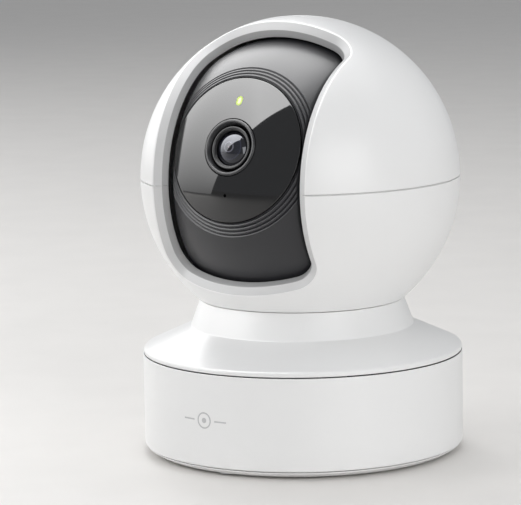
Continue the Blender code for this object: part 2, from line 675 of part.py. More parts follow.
def build_shells(look):
    """The two halves of the ball, split round its middle."""
    seam = GAP / 2
    inner = BALL_RADIUS - BALL_WALL
    centre = (0, BALL_HEIGHT)
    rise = degrees(asin(seam / BALL_RADIUS))
    outline = arc(BALL_RADIUS, rise, 90, 10, centre)[:-1] + [(0, BALL_HEIGHT + BALL_RADIUS)]
    outline += [(0, BALL_HEIGHT + inner)] + arc(inner, 90, rise, 9, centre)[1:]
    upper = make_object("upper_shell", turned("upper_shell", outline), look["white"])
    hang = arc_strip(
        "tongue",
        inner - TONGUE_CLEARANCE - TONGUE_THICKNESS,
        inner - TONGUE_CLEARANCE,
        -12,
        192,
        BALL_HEIGHT - TONGUE_DEPTH,
        BALL_HEIGHT + TONGUE_RISE,
    )
    add(upper, hang)
    fit_opening(upper, BALL_HEIGHT + seam, BALL_HEIGHT + 60 * MM)

    cut_angle = degrees(asin(BALL_CUT / BALL_RADIUS))
    skirt_angle = degrees(asin(BALL_CUT / SKIRT_RADIUS))
    boss_angle = -degrees(acos(FLOOR_BOSS_RADIUS / SKIRT_RADIUS))
    cavity = SKIRT_RADIUS - BALL_WALL
    outline = arc(BALL_RADIUS, -rise, cut_angle, 6, centre)[::-1]
    outline = [(HUB_BORE, FLOOR_BOTTOM), (FLOOR_BOSS_RADIUS, FLOOR_BOTTOM)] + (
        arc(SKIRT_RADIUS, boss_angle, skirt_angle, 3, centre) + outline
    )
    floor_angle = -degrees(acos(HUB_BORE / cavity))
    outline += arc(inner, -rise, cut_angle, 5, centre)
    outline += arc(cavity, skirt_angle - 4, floor_angle, 4, centre)
    lower = make_object("lower_shell", turned("lower_shell", outline), look["white"])
    fit_opening(lower, BALL_HEIGHT - 60 * MM, BALL_HEIGHT - seam)

    back = (0, 0, BALL_HEIGHT)
    for i in range(7):
        offset = 0 if i == 0 else GRILLE_RING_RADIUS
        hole = disc("grille_hole", GRILLE_HOLE_RADIUS, 30 * MM, 50 * MM, 8, "Y")
        turn = 2 * pi * i / 6
        place = Matrix.Translation((offset * cos(turn), 0, offset * sin(turn)))
        aim = Matrix.Translation(back) @ Matrix.Rotation(-radians(SPEAKER_DROP), 4, "X") @ place
        cut(lower, moved(hole, aim))
    return lower


def build_head_inside(look, lower):
    """Gear, brackets, motor and loudspeaker, all carried by the lower shell."""
    teeth = tooth_outline(PAN_TEETH, -90)
    gear = make_object(
        "pan_gear", extruded("pan_gear", teeth, PAN_GEAR_BOTTOM, PAN_GEAR_TOP), look["nylon"]
    )
    top = FLOOR_BOTTOM - GAP
    add(gear, disc("hub", HUB_RADIUS, PAN_GEAR_BOTTOM - 1.5 * MM, top, 32))
    cut(gear, disc("hub_bore", HUB_BORE, PAN_GEAR_BOTTOM - 4 * MM, top + MM, 24))
    circle = (HUB_RADIUS + HUB_BORE) / 2
    for i, angle in enumerate((0, 180)):
        place = around(circle, angle, 0)
        head = PAN_GEAR_BOTTOM - 1.5 * MM
        hole = SCREW_RADIUS * 0.7 + GAP / 2
        cut(gear, disc("gear_hole", hole, head - MM, top + MM, 10, at=place))
        cut(lower, disc("gear_pilot", hole, FLOOR_BOTTOM - MM, FLOOR_BOTTOM + 2 * MM, 10, at=place))
        turn = Matrix.Translation(place + Vector((0, 0, head - GAP))) @ Matrix.Rotation(pi, 4, "X")
        length = top - head + GAP + 1.2 * MM
        outline = [
            (0, -length),
            (SCREW_RADIUS * 0.7, -length),
            (SCREW_RADIUS * 0.7, 0),
            (SCREW_RADIUS * 1.3, 0),
            (SCREW_RADIUS * 1.3, 0.8 * MM),
            (0, 0.8 * MM),
        ]
        bolt = make_object(f"gear_screw_{i + 1}", turned("gear_screw", outline, 10), look["steel"])
        bolt.matrix_local = turn

    centre = Vector((0, 0, BALL_HEIGHT))
    reach = BALL_RADIUS - BALL_WALL - 1.0 * MM
    for side, name in ((-1, "tilt_bracket_right"), (1, "tilt_bracket_left")):
        low, high = sorted((side * BRACKET_X, side * (BRACKET_X + BRACKET_THICKNESS)))
        drop = sqrt(reach**2 - (BRACKET_X + BRACKET_THICKNESS) ** 2 - (BRACKET_WIDTH / 2) ** 2)
        plate = block(
            name,
            (low, -BRACKET_WIDTH / 2, BALL_HEIGHT - drop),
            (high, BRACKET_WIDTH / 2, BALL_HEIGHT + TRUNNION_RADIUS + 5 * MM),
            0.4 * MM,
        )
        bracket = make_object(name, plate, look["nylon"])
        edge = 30 * MM
        bearing = disc("bearing", TRUNNION_RADIUS + 0.25 * MM, -edge, edge, 20, "X", centre)
        cut(bracket, bearing)

    aim = Matrix.Translation(centre) @ Matrix.Rotation(-radians(DRUM_TILT), 4, "X")
    motor_centre = aim @ Vector((0, TILT_DISTANCE, 0))
    right = GEAR_X - 1.4 * MM
    left = right - TILT_MOTOR_LENGTH
    can = disc("tilt_motor", TILT_MOTOR_RADIUS, left, right, 28, "X", motor_centre)
    motor = make_object("tilt_motor", can, look["steel"])
    bore = disc("motor_bore", SHAFT_RADIUS + GAP, right - 3 * MM, right + MM, 12, "X", motor_centre)
    cut(motor, bore)
    top = motor_centre.z - TILT_MOTOR_RADIUS - GAP
    cradle = block(
        "tilt_motor_cradle",
        (left + 4 * MM, motor_centre.y - 2.5 * MM, top - 12 * MM),
        (left + 11 * MM, motor_centre.y + 5 * MM, top),
        0.5 * MM,
    )
    make_object("tilt_motor_cradle", cradle, look["nylon"])

    depth = BALL_RADIUS - BALL_WALL - 2.3 * MM
    shape = [
        (0, depth - SPEAKER_DEPTH),
        (SPEAKER_RADIUS * 0.7, depth - SPEAKER_DEPTH),
        (SPEAKER_RADIUS * 0.7, depth - 3 * MM),
        (SPEAKER_RADIUS, depth - 2 * MM),
        (SPEAKER_RADIUS, depth),
        (0, depth),
    ]
    cone = turned("speaker", shape, 24, "Y")
    place = Matrix.Translation(centre) @ Matrix.Rotation(-radians(SPEAKER_DROP), 4, "X")
    make_object("speaker", moved(cone, place), look["black"])
    rear = BALL_RADIUS - BALL_WALL - ANTENNA_INSET
    antenna = block(
        "antenna_board",
        (-12 * MM, rear, BALL_HEIGHT + 3 * MM),
        (12 * MM, rear + BOARD_THICKNESS, BALL_HEIGHT + 14 * MM),
    )
    make_object("antenna_board", antenna, look["board"])


def build_tilt_pinion(look, aim):
    """Motor shaft and gear, one piece, behind the sector gear."""
    axis = bpy.data.objects.new("tilt_pinion_axis", None)
    bpy.context.scene.collection.objects.link(axis)
    axis.matrix_world = aim @ Matrix.Translation((0, TILT_DISTANCE, 0))
    to_x = Matrix.Rotation(pi / 2, 4, "Z") @ Matrix.Rotation(pi / 2, 4, "X")  # x to Y, y to Z, z to X
    teeth = tooth_outline(PINION_TEETH, 180 + 180 / PINION_TEETH)
    wheel = moved(extruded("tilt_pinion", teeth, GEAR_X, GEAR_X + GEAR_WIDTH), to_x)
    pinion = make_object("tilt_pinion", wheel, look["nylon"], axis)
    shaft = disc("tilt_shaft", SHAFT_RADIUS, GEAR_X - 3.5 * MM, GEAR_X + MM, 12, "X")
    add(pinion, shaft)


def below_lens(angle, depth):
    """A frame on the drum's skin, turned down from the lens by the angle, whose -Y points out."""
    return Matrix.Rotation(-radians(angle), 4, "X") @ Matrix.Translation((0, -depth, 0))


def drum_solid(name, radius, half_width, edge):
    """A slab of a ball, turned round the X axis, its side edges rounded."""
    rim = sqrt(radius**2 - half_width**2)
    side = degrees(asin((half_width - edge) / radius))
    outline = [(0, -half_width), (rim - edge, -half_width)]
    outline += [(r, x) for r, x in arc(radius, -side, side, 7)]
    outline += [(rim - edge, half_width), (0, half_width)]
    return turned(name, outline, ROUND_STEPS, "X")


def build_drum_shell(look, tilt):
    shell = make_object(
        "drum_shell",
        drum_solid("drum_shell", DRUM_RADIUS, DRUM_HALF_WIDTH, DRUM_EDGE_ROUND),
        look["drum"],
        tilt,
    )
    size = 60 * MM
    front = block("front_half", (-size, -size, -size), (size, DRUM_BACK, size))
    keep_only(shell, front)
    floor = WINDOW_SEAT_DEPTH - GAP - DRUM_FRONT_PLATE
    hollow = make_object(
        "drum_hollow",
        drum_solid("drum_hollow", DRUM_RADIUS - DRUM_WALL, DRUM_HALF_WIDTH - DRUM_WALL, MM),
        parent=tilt,
    )
    hollow.hide_render = True
    hollow.display_type = "WIRE"
    keep_only(hollow, block("hollow_front", (-size, -floor, -size), (size, size, size)))
    modifier = shell.modifiers.new("drum_hollow", "BOOLEAN")
    modifier.operation = "DIFFERENCE"
    modifier.object = hollow
    seat = WINDOW_RADIUS + 0.25 * MM
    cut(shell, disc("window_seat", seat, WINDOW_SEAT_DEPTH - GAP, size, ROUND_STEPS, "-Y"))
    cut(shell, disc("front_bore", FRONT_BORE, 0, WINDOW_SEAT_DEPTH, 32, "-Y"))
    pin_hole = disc("pin_hole", TRUNNION_RADIUS + GAP, -size, size, 16, "X")
    cut(shell, pin_hole)
    half = CARD_WIDTH / 2 + GAP
    thick = CARD_THICKNESS / 2 + GAP
    slot = block("card_slot", (-half, -4 * MM, -thick), (half, 6 * MM, thick))
    cut(shell, moved(slot, below_lens(CARD_ANGLE, DRUM_RADIUS)))
    hole = disc("button_hole", BUTTON_RADIUS + GAP, -6 * MM, 6 * MM, 14, "-Y")
    cut(shell, moved(hole, below_lens(BUTTON_ANGLE, DRUM_RADIUS)))

    width, height = REAR_COVER_HALF_WIDTH, REAR_COVER_HALF_HEIGHT
    low = DRUM_BACK - GAP - REAR_COVER_THICKNESS
    plate = block("drum_rear_cover", (-width, low, -height), (width, DRUM_BACK - GAP, height), 0.3 * MM)
    cover = make_object("drum_rear_cover", plate, look["drum"], tilt)
    for i, side in enumerate((-1, 1)):
        place = (0, 0, side * REAR_COVER_SCREW_HEIGHT)
        post_top = low - GAP
        hole = disc("cover_hole", SCREW_RADIUS + GAP, low - MM, DRUM_BACK + MM, 12, "Y", place)
        cut(cover, hole)
        aim = Matrix.Translation((0, DRUM_BACK, place[2])) @ Matrix.Rotation(-pi / 2, 4, "X")
        screw(f"drum_screw_{i + 1}", aim, look["steel"], 5.0 * MM, tilt)
        post_radius = REAR_COVER_POST_RADIUS
        end = side * sqrt((DRUM_RADIUS - 0.5 * DRUM_WALL) ** 2 - (post_top - 6 * MM) ** 2)
        bottom, top = sorted((place[2] - side * post_radius, end))
        post = block(
            "cover_post", (-post_radius, post_top - 6 * MM, bottom), (post_radius, post_top, top)
        )
        add(shell, post)
        cut(shell, disc("post_pilot", SCREW_RADIUS + GAP, post_top - 5 * MM, post_top + MM, 12, "Y", place))


def build_lens(look, tilt):
    """Window, hood, barrel, glass, and the boards behind them, all along the lens axis."""
    rim = WINDOW_RIM_DEPTH
    dome_radius = (WINDOW_RADIUS**2 + WINDOW_DOME**2) / (2 * WINDOW_DOME)
    centre = rim + WINDOW_DOME - dome_radius
    hole = HOOD_RADIUS + GAP
    dome = [WINDOW_RADIUS + (hole - WINDOW_RADIUS) * i / 3 for i in range(4)]
    front = [(r, centre + sqrt(dome_radius**2 - r**2)) for r in dome]
    land = WINDOW_RADIUS - WINDOW_LAND
    back = rim - 0.6 * MM
    outline = [
        (hole, back),
        (land, back - 0.8 * MM),
        (land, WINDOW_SEAT_DEPTH),
        (WINDOW_RADIUS, WINDOW_SEAT_DEPTH),
    ] + front
    disc_mesh = turned("lens_window", outline, ROUND_STEPS, "-Y")
    window = make_object("lens_window", disc_mesh, look["window"], tilt)
    above = (0, 0, LIGHT_OFFSET)
    cut(window, disc("light_hole", LIGHT_RADIUS + GAP, 20 * MM, 50 * MM, 12, "-Y", above))
    beneath = (0, 0, -LIGHT_OFFSET)
    cut(window, disc("mic_hole", MIC_HOLE_RADIUS, 20 * MM, 50 * MM, 8, "-Y", beneath))

    crown = centre + sqrt(dome_radius**2 - hole**2)
    hood_bore = HOOD_RADIUS - HOOD_WALL
    outline = [
        (hood_bore, crown - HOOD_LENGTH),
        (HOOD_RADIUS, crown - HOOD_LENGTH),
        (HOOD_RADIUS, crown),
        (HOOD_RADIUS - 0.4 * MM, crown + 0.4 * MM),
        (hood_bore + 0.2 * MM, crown + 0.2 * MM),
        (hood_bore, crown - 1.2 * MM),
    ]
    make_object("lens_hood", turned("lens_hood", outline, 32, "-Y"), look["ring"], tilt)
    barrel = hood_bore - GAP
    glass = barrel - BARREL_WALL - GAP
    face = crown - 1.6 * MM
    outline = [
        (0, face - BARREL_LENGTH),
        (barrel, face - BARREL_LENGTH),
        (barrel, face),
        (glass + GAP, face),
        (glass + GAP, face - GLASS_RECESS),
        (0, face - GLASS_RECESS),
    ]
    make_object("lens_barrel", turned("lens_barrel", outline, 28, "-Y"), look["black"], tilt)
    bottom = face - GLASS_RECESS + GAP
    dome = arc(glass * 1.2, degrees(acos(1 / 1.2)), 90, 3, (0, bottom + 0.5 * MM))
    outline = [(0, bottom), (glass, bottom)] + dome[:-1] + [(0, dome[-1][1])]
    make_object("lens_glass", turned("lens_glass", outline, 24, "-Y"), look["glass"], tilt)

    top = centre + sqrt(dome_radius**2 - LIGHT_OFFSET**2)
    low = INFRARED_BOARD_DEPTH + BOARD_THICKNESS + LED_HEIGHT + GAP
    pipe = disc("status_light_pipe", LIGHT_RADIUS, low, top + 0.1 * MM, 12, "-Y", above)
    make_object("status_light_pipe", pipe, look["light"], tilt)
    led = block(
        "status_led",
        (-LIGHT_RADIUS, -(low - GAP), LIGHT_OFFSET - LIGHT_RADIUS),
        (LIGHT_RADIUS, -(INFRARED_BOARD_DEPTH + BOARD_THICKNESS + GAP), LIGHT_OFFSET + LIGHT_RADIUS),
    )
    make_object("status_led", led, look["light"], tilt)
    low = INFRARED_BOARD_DEPTH + BOARD_THICKNESS + GAP
    mic = disc("microphone", MIC_RADIUS, low, low + MIC_HEIGHT, 14, "-Y", beneath)
    make_object("microphone", mic, look["steel"], tilt)

    infrared = make_object(
        "infrared_board",
        ring(
            "infrared_board",
            HOOD_RADIUS + GAP,
            WINDOW_RADIUS - WINDOW_LAND + 0.5 * MM,
            INFRARED_BOARD_DEPTH,
            INFRARED_BOARD_DEPTH + BOARD_THICKNESS,
            32,
            "-Y",
        ),
        look["board"],
        tilt,
    )
    for i in range(INFRARED_LED_COUNT):
        angle = radians(-75 + 30 * (i % 3) + 180 * (i // 3) + 45)
        place = (INFRARED_CIRCLE * cos(angle), 0, INFRARED_CIRCLE * sin(angle))
        low = INFRARED_BOARD_DEPTH + BOARD_THICKNESS / 2
        add(infrared, disc("infrared_led", INFRARED_LED_RADIUS, low, low + 3 * MM, 10, "-Y", place))

    half = SENSOR_BOARD_SIDE / 2
    rear = face - BARREL_LENGTH - GAP
    board = block("sensor_board", (-half, -rear, -half), (half, -rear + BOARD_THICKNESS, half))
    make_object("sensor_board", board, look["board"], tilt)
    board = block(
        "main_board",
        (-MAIN_BOARD_WIDTH / 2, -MAIN_BOARD_DEPTH - BOARD_THICKNESS, -MAIN_BOARD_HEIGHT / 2),
        (MAIN_BOARD_WIDTH / 2, -MAIN_BOARD_DEPTH, MAIN_BOARD_HEIGHT / 2),
    )
    make_object("main_board", board, look["board"], tilt)


def build_drum_sides(look, tilt):
    """The pins that carry the drum, and the sector gear that turns it."""
    inside = DRUM_HALF_WIDTH - DRUM_WALL
    outside = BRACKET_X + BRACKET_THICKNESS
    for side, name in ((-1, "trunnion_right"), (1, "trunnion_left")):
        outline = [
            (0, inside - GAP - TRUNNION_HEAD),
            (TRUNNION_HEAD_RADIUS, inside - GAP - TRUNNION_HEAD),
            (TRUNNION_HEAD_RADIUS, inside - GAP),
            (TRUNNION_RADIUS, inside - GAP),
            (TRUNNION_RADIUS, outside),
            (0, outside),
        ]
        outline = [(r, side * x) for r, x in outline]
        make_object(name, turned(name, outline, 20, "X"), look["steel"], tilt)

    to_x = Matrix.Rotation(pi / 2, 4, "Z") @ Matrix.Rotation(pi / 2, 4, "X")
    pitch = 360 / SECTOR_TEETH
    first = -pitch * round(SECTOR_SPAN / 2 / pitch)
    outline = tooth_outline(SECTOR_TEETH, first, 1 - 2 * first / pitch)
    end = -first + 0.75 * pitch
    outline += arc(TRUNNION_RADIUS + 2.2 * MM, end, 360 - end, 10)
    wheel = moved(extruded("sector_gear", outline, GEAR_X, GEAR_X + GEAR_WIDTH), to_x)
    gear = make_object("sector_gear", wheel, look["nylon"], tilt)
    cut(gear, disc("sector_bore", TRUNNION_RADIUS + GAP, 0, 60 * MM, 16, "X"))


def build_card_and_button(look, tilt):
    half = CARD_WIDTH / 2 + 1.0 * MM
    thick = CARD_THICKNESS / 2 + 0.6 * MM
    depth = DRUM_WALL + CARD_READER_GAP
    slot_half = CARD_WIDTH / 2
    reader = make_object(
        "card_reader",
        moved(
            block("card_reader", (-half, depth, -thick), (half, depth + CARD_READER_LENGTH, thick)),
            below_lens(CARD_ANGLE, DRUM_RADIUS),
        ),
        look["steel"],
        tilt,
    )
    inner = CARD_THICKNESS / 2
    mouth = block(
        "reader_mouth", (-slot_half, 0, -inner), (slot_half, depth + CARD_READER_LENGTH - MM, inner)
    )
    cut(reader, moved(mouth, below_lens(CARD_ANGLE, DRUM_RADIUS)))

    place = below_lens(BUTTON_ANGLE, DRUM_RADIUS)
    outline = [
        (0, -BUTTON_LENGTH),
        (BUTTON_RADIUS, -BUTTON_LENGTH),
        (BUTTON_RADIUS, -GAP),
        (BUTTON_RADIUS - 0.3 * MM, 0),
        (0, 0),
    ]
    axis = bpy.data.objects.new("reset_button_axis", None)
    bpy.context.scene.collection.objects.link(axis)
    axis.parent = tilt
    axis.matrix_local = place
    button = turned("reset_button", outline, 14, "-Y")
    make_object("reset_button", button, look["ring"], axis)
    half = SWITCH_SIDE / 2
    low = BUTTON_LENGTH + BUTTON_TRAVEL + GAP
    switch = block("reset_switch", (-half, low, -half), (half, low + SWITCH_HEIGHT, half), 0.3 * MM)
    make_object("reset_switch", switch, look["black"], axis)


def build():
    clear_scene()
    look = {
        "white": material("white_shell", WHITE, 0.38),
        "drum": material("drum_plastic", DRUM_GREY, 0.42),
        "window": material("window_black", BLACK, 0.05),
        "ring": material("lens_ring", DRUM_GREY, 0.3),
        "black": material("black_plastic", BLACK, 0.5),
        "rubber": material("rubber", RUBBER, 0.85),
        "steel": material("steel", STEEL, 0.35, 1.0),
        "brass": material("brass", BRASS, 0.3, 1.0),
        "board": material("board", BOARD_GREEN, 0.5),
        "nylon": material("nylon", NYLON, 0.5),
        "glass": material("lens_glass", GLASS, 0.02),
        "light": material("status_light", LIGHT_GREEN, 0.3),
    }
    build_base(look)
    build_pan_pinion(look)
    lower = build_shells(look)
    build_head_inside(look, lower)
    tilt = bpy.data.objects.new("tilt_axis", None)
    bpy.context.scene.collection.objects.link(tilt)
    aim = Matrix.Translation((0, 0, BALL_HEIGHT)) @ Matrix.Rotation(-radians(DRUM_TILT), 4, "X")
    tilt.matrix_world = aim
    build_drum_shell(look, tilt)
    build_lens(look, tilt)
    build_drum_sides(look, tilt)
    build_card_and_button(look, tilt)
    build_tilt_pinion(look, aim)


build()
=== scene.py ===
# Indoor pan-tilt camera: a white ball head on a short round base, with a dark lens drum.
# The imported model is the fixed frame, and every visible shell is remade here as a fine surface.

import json
import math

import bmesh
import bpy
import numpy as np
from mathutils import Matrix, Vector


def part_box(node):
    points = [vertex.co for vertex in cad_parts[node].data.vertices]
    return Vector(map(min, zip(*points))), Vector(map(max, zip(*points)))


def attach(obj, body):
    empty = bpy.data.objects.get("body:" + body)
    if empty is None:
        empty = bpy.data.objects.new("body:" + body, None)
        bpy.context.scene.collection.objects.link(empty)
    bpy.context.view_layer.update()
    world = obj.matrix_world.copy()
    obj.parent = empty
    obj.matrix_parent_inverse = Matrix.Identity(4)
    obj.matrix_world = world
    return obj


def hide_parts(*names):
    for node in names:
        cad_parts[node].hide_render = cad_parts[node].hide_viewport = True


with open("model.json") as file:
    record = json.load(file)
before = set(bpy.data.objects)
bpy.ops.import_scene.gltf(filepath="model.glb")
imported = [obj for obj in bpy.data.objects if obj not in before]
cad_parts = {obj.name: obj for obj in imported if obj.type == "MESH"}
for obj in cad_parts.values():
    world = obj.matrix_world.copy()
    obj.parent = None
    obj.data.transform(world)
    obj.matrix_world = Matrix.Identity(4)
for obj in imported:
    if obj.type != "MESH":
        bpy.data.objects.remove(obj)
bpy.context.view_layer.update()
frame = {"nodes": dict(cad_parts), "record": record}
mm = 0.001


def jointNamed(name):
    # The joint's own entry in the record.
    return next(j for j in frame["record"]["behaviour"]["joints"] if j["name"] == name)


# Sizes read from the frame.
ballCentre = np.array(jointNamed("tilt")["pos_m"])
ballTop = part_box("upper_shell")[1].z
ballRadius = ballTop - ballCentre[2]
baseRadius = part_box("base_housing")[1].x
pressAxis = np.array(jointNamed("reset_press")["axis"])
buttonBelow = math.radians(78.0)  # how far the reset button lies under the lens
lensTilt = buttonBelow - math.atan2(pressAxis[2], pressAxis[1])
lensAxis = np.array([0.0, -math.cos(lensTilt), math.sin(lensTilt)])
lensUp = np.array([0.0, math.sin(lensTilt), math.cos(lensTilt)])
sideways = np.array([1.0, 0.0, 0.0])


def roundedPath(corners, radii, steps):
    # A line through the corners, each cut back into an arc of its own radius.
    corners = np.asarray(corners, float)
    out = [corners[0]]
    for before, corner, after, radius in zip(corners, corners[1:], corners[2:], radii[1:-1]):
        back, ahead = before - corner, after - corner
        lengths = np.linalg.norm(back), np.linalg.norm(ahead)
        back, ahead = back / lengths[0], ahead / lengths[1]
        angle = math.acos(np.clip(back @ ahead, -1, 1))
        if radius <= 0 or angle > math.pi - 1e-3:
            out.append(corner)
            continue
        reach = min(radius / math.tan(angle / 2), 0.49 * min(lengths))
        radius = reach * math.tan(angle / 2)
        middle = corner + (back + ahead) / np.linalg.norm(back + ahead) * radius / math.sin(angle / 2)
        start, end = corner + back * reach - middle, corner + ahead * reach - middle
        t = np.linspace(0, 1, steps + 1)[:, None]
        sweep = math.pi - angle
        out.extend(middle + (np.sin((1 - t) * sweep) * start + np.sin(t * sweep) * end) / math.sin(sweep))
    out.append(corners[-1])
    return np.array(out)


def spaced(path, step):
    # The same line with extra points, so that none is further from the next than the step.
    pieces = [path[:1]]
    for a, b in zip(path, path[1:]):
        count = max(1, int(np.ceil(np.linalg.norm(b - a) / step)))
        pieces.append(a + (b - a) * np.linspace(0, 1, count + 1)[1:, None])
    return np.concatenate(pieces)


def arcPoints(radius, start, end, count, centre=(0.0, 0.0)):
    # Evenly spaced (x, y) points on a circle's arc, from one angle in degrees to another.
    angles = np.radians(np.linspace(start, end, count))
    return np.stack([centre[0] + radius * np.cos(angles), centre[1] + radius * np.sin(angles)], 1)


def gridFaces(rows, columns, closeRows, closeColumns):
    # Quads between neighbours on a grid of rows by columns.
    i = np.arange(rows if closeRows else rows - 1)
    j = np.arange(columns if closeColumns else columns - 1)
    i, j = np.meshgrid(i, j, indexing="ij")
    a, b = i * columns + j, ((i + 1) % rows) * columns + j
    c, d = ((i + 1) % rows) * columns + (j + 1) % columns, i * columns + (j + 1) % columns
    return np.stack([a, b, c, d], -1).reshape(-1, 4)


def turnedOut(mesh, merge=False):
    # Points every face of a closed mesh outwards, after its doubles are merged where it has any.
    work = bmesh.new()
    work.from_mesh(mesh)
    if merge:
        bmesh.ops.remove_doubles(work, verts=work.verts, dist=2e-7)
        bmesh.ops.dissolve_degenerate(work, edges=work.edges, dist=1e-8)
    bmesh.ops.recalc_face_normals(work, faces=work.faces)
    work.to_mesh(mesh)
    work.free()


def meshPiece(name, points, faces, finish, slots=None):
    # A mesh object from whole arrays of points and faces; slots gives each face its finish.
    mesh = bpy.data.meshes.new(name)
    mesh.from_pydata(np.asarray(points).tolist(), [], np.asarray(faces).tolist())
    if slots is not None:
        mesh.polygons.foreach_set("material_index", np.asarray(slots, np.int32))
    turnedOut(mesh, True)
    return finished(name, mesh, finish)


def finished(name, mesh, finish, sharp=35):
    # The mesh as an object in the scene, smooth but for its edges over this many degrees.
    mesh.shade_smooth()
    mesh.set_sharp_from_angle(angle=math.radians(sharp))
    piece = bpy.data.objects.new(name, mesh)
    bpy.context.scene.collection.objects.link(piece)
    if finish:
        mesh.materials.append(finish)
    return piece


def turnedPiece(name, profile, finish, place=np.eye(4), turns=180):
    # The profile of (radius, height) points turned round the Z axis of a 4x4 place: a loop, unless
    # both of its ends are on the axis.
    angle = np.linspace(0, 2 * math.pi, turns, endpoint=False)[:, None]
    radius, height = np.asarray(profile, float).T
    level = np.broadcast_to(height, (turns, len(height)))
    points = np.stack([radius * np.cos(angle), radius * np.sin(angle), level, np.ones_like(level)], -1)
    points = (points @ np.array(place).T)[..., :3]
    onAxis = radius[0] < 1e-9 and radius[-1] < 1e-9
    faces = gridFaces(turns, len(radius), True, not onAxis)
    return meshPiece(name, points.reshape(-1, 3), faces, finish)


def prism(name, outline, place, depth, finish=None):
    # A flat outline of (x, y) points made into a straight-sided body, set at a 4x4 place.
    outline = np.asarray(outline, float)
    count = len(outline)
    flat = np.concatenate([outline, outline])
    heights = np.repeat([-depth / 2, depth / 2], count)[:, None]
    points = np.concatenate([flat, heights, np.ones((2 * count, 1))], 1) @ np.array(place).T
    i = np.arange(count)
    sides = np.stack([i, (i + 1) % count, count + (i + 1) % count, count + i], 1).tolist()
    caps = [i[::-1].tolist(), (i + count).tolist()]
    mesh = bpy.data.meshes.new(name)
    mesh.from_pydata(points[:, :3].tolist(), [], sides + caps)
    turnedOut(mesh)
    return finished(name, mesh, finish)


def roundedBox(width, height, corner):
    # Outline of a rectangle with round corners, centred on the origin.
    w, h = width / 2 - corner, height / 2 - corner
    quarters = [(w, h, 0), (-w, h, 90), (-w, -h, 180), (w, -h, 270)]
    return np.concatenate([arcPoints(corner, a, a + 90, 6, (x, y)) for x, y, a in quarters])


def shaped(piece, others, operation="DIFFERENCE", solver="EXACT"):
    # Cuts or joins the other bodies, which are then removed, and keeps the result as the mesh.
    for other in others:
        modifier = piece.modifiers.new("shape", "BOOLEAN")
        modifier.operation, modifier.solver, modifier.object = operation, solver, other
    bpy.context.view_layer.update()
    graph = bpy.context.evaluated_depsgraph_get()
    mesh = bpy.data.meshes.new_from_object(piece.evaluated_get(graph))
    piece.modifiers.clear()
    old, piece.data = piece.data, mesh
    bpy.data.meshes.remove(old)
    for other in others:
        bpy.data.objects.remove(other, do_unlink=True)
    mesh.shade_smooth()
    mesh.set_sharp_from_angle(angle=math.radians(32))
    return piece


def aimed(direction, up, origin):
    # A 4x4 place whose Z runs along the direction and whose Y is close to up.
    z = np.asarray(direction, float) / np.linalg.norm(direction)
    x = np.cross(up, z)
    x /= np.linalg.norm(x)
    place = np.eye(4)
    place[:3, 0], place[:3, 1], place[:3, 2], place[:3, 3] = x, np.cross(z, x), z, origin
    return place


def circle(radius, steps=48):
    # Outline of a full circle about the origin, without a doubled last point.
    return arcPoints(radius, 0, 360, steps + 1)[:-1]


def pill(width, height):
    # Outline of an upright shape with straight sides and half-round ends.
    radius, straight = width / 2, height / 2 - width / 2
    top = arcPoints(radius, 0, 180, 14, (0, straight))
    return np.concatenate([top, arcPoints(radius, 180, 360, 14, (0, -straight))])


def upright(x, y, z):
    # A 4x4 place at this point, with its axes along the world's.
    place = np.eye(4)
    place[:3, 3] = x, y, z
    return place


def middleOf(cadNode):
    # The middle of a CAD node's box.
    low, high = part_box(cadNode)
    return np.array((low + high) / 2)


def settle(piece, body, slot, *cadNodes):
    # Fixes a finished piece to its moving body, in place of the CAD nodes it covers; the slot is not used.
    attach(piece, body)
    if cadNodes:
        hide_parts(*cadNodes)
    return piece


lensPlace = aimed(lensAxis, lensUp, ballCentre)  # X to the right of the ball, Y up the window, Z out


def finish(name, colour, roughness, metallic=0.0, **sockets):
    # A plastic, rubber or metal, with its even values set on the shader's own sockets.
    made = bpy.data.materials.new(name)
    made.use_nodes = True
    shader = made.node_tree.nodes["Principled BSDF"]
    shader.inputs["Base Color"].default_value = (*colour, 1.0)
    shader.inputs["Roughness"].default_value = roughness
    shader.inputs["Metallic"].default_value = metallic
    for socket, value in sockets.items():
        shader.inputs[socket.replace("_", " ")].default_value = value
    made.diffuse_color = (*colour, 1.0)
    return made


def node(made, kind, **settings):
    # A new node; a setting goes to the input of that name, or else to the node itself.
    new = made.node_tree.nodes.new(kind)
    for key, value in settings.items():
        if key in new.inputs:
            new.inputs[key].default_value = value
        else:
            setattr(new, key, value)
    return new


def link(made, fromNode, output, toNode, socket):
    # Joins one node's output to another's input.
    made.node_tree.links.new(fromNode.outputs[output], toNode.inputs[socket])


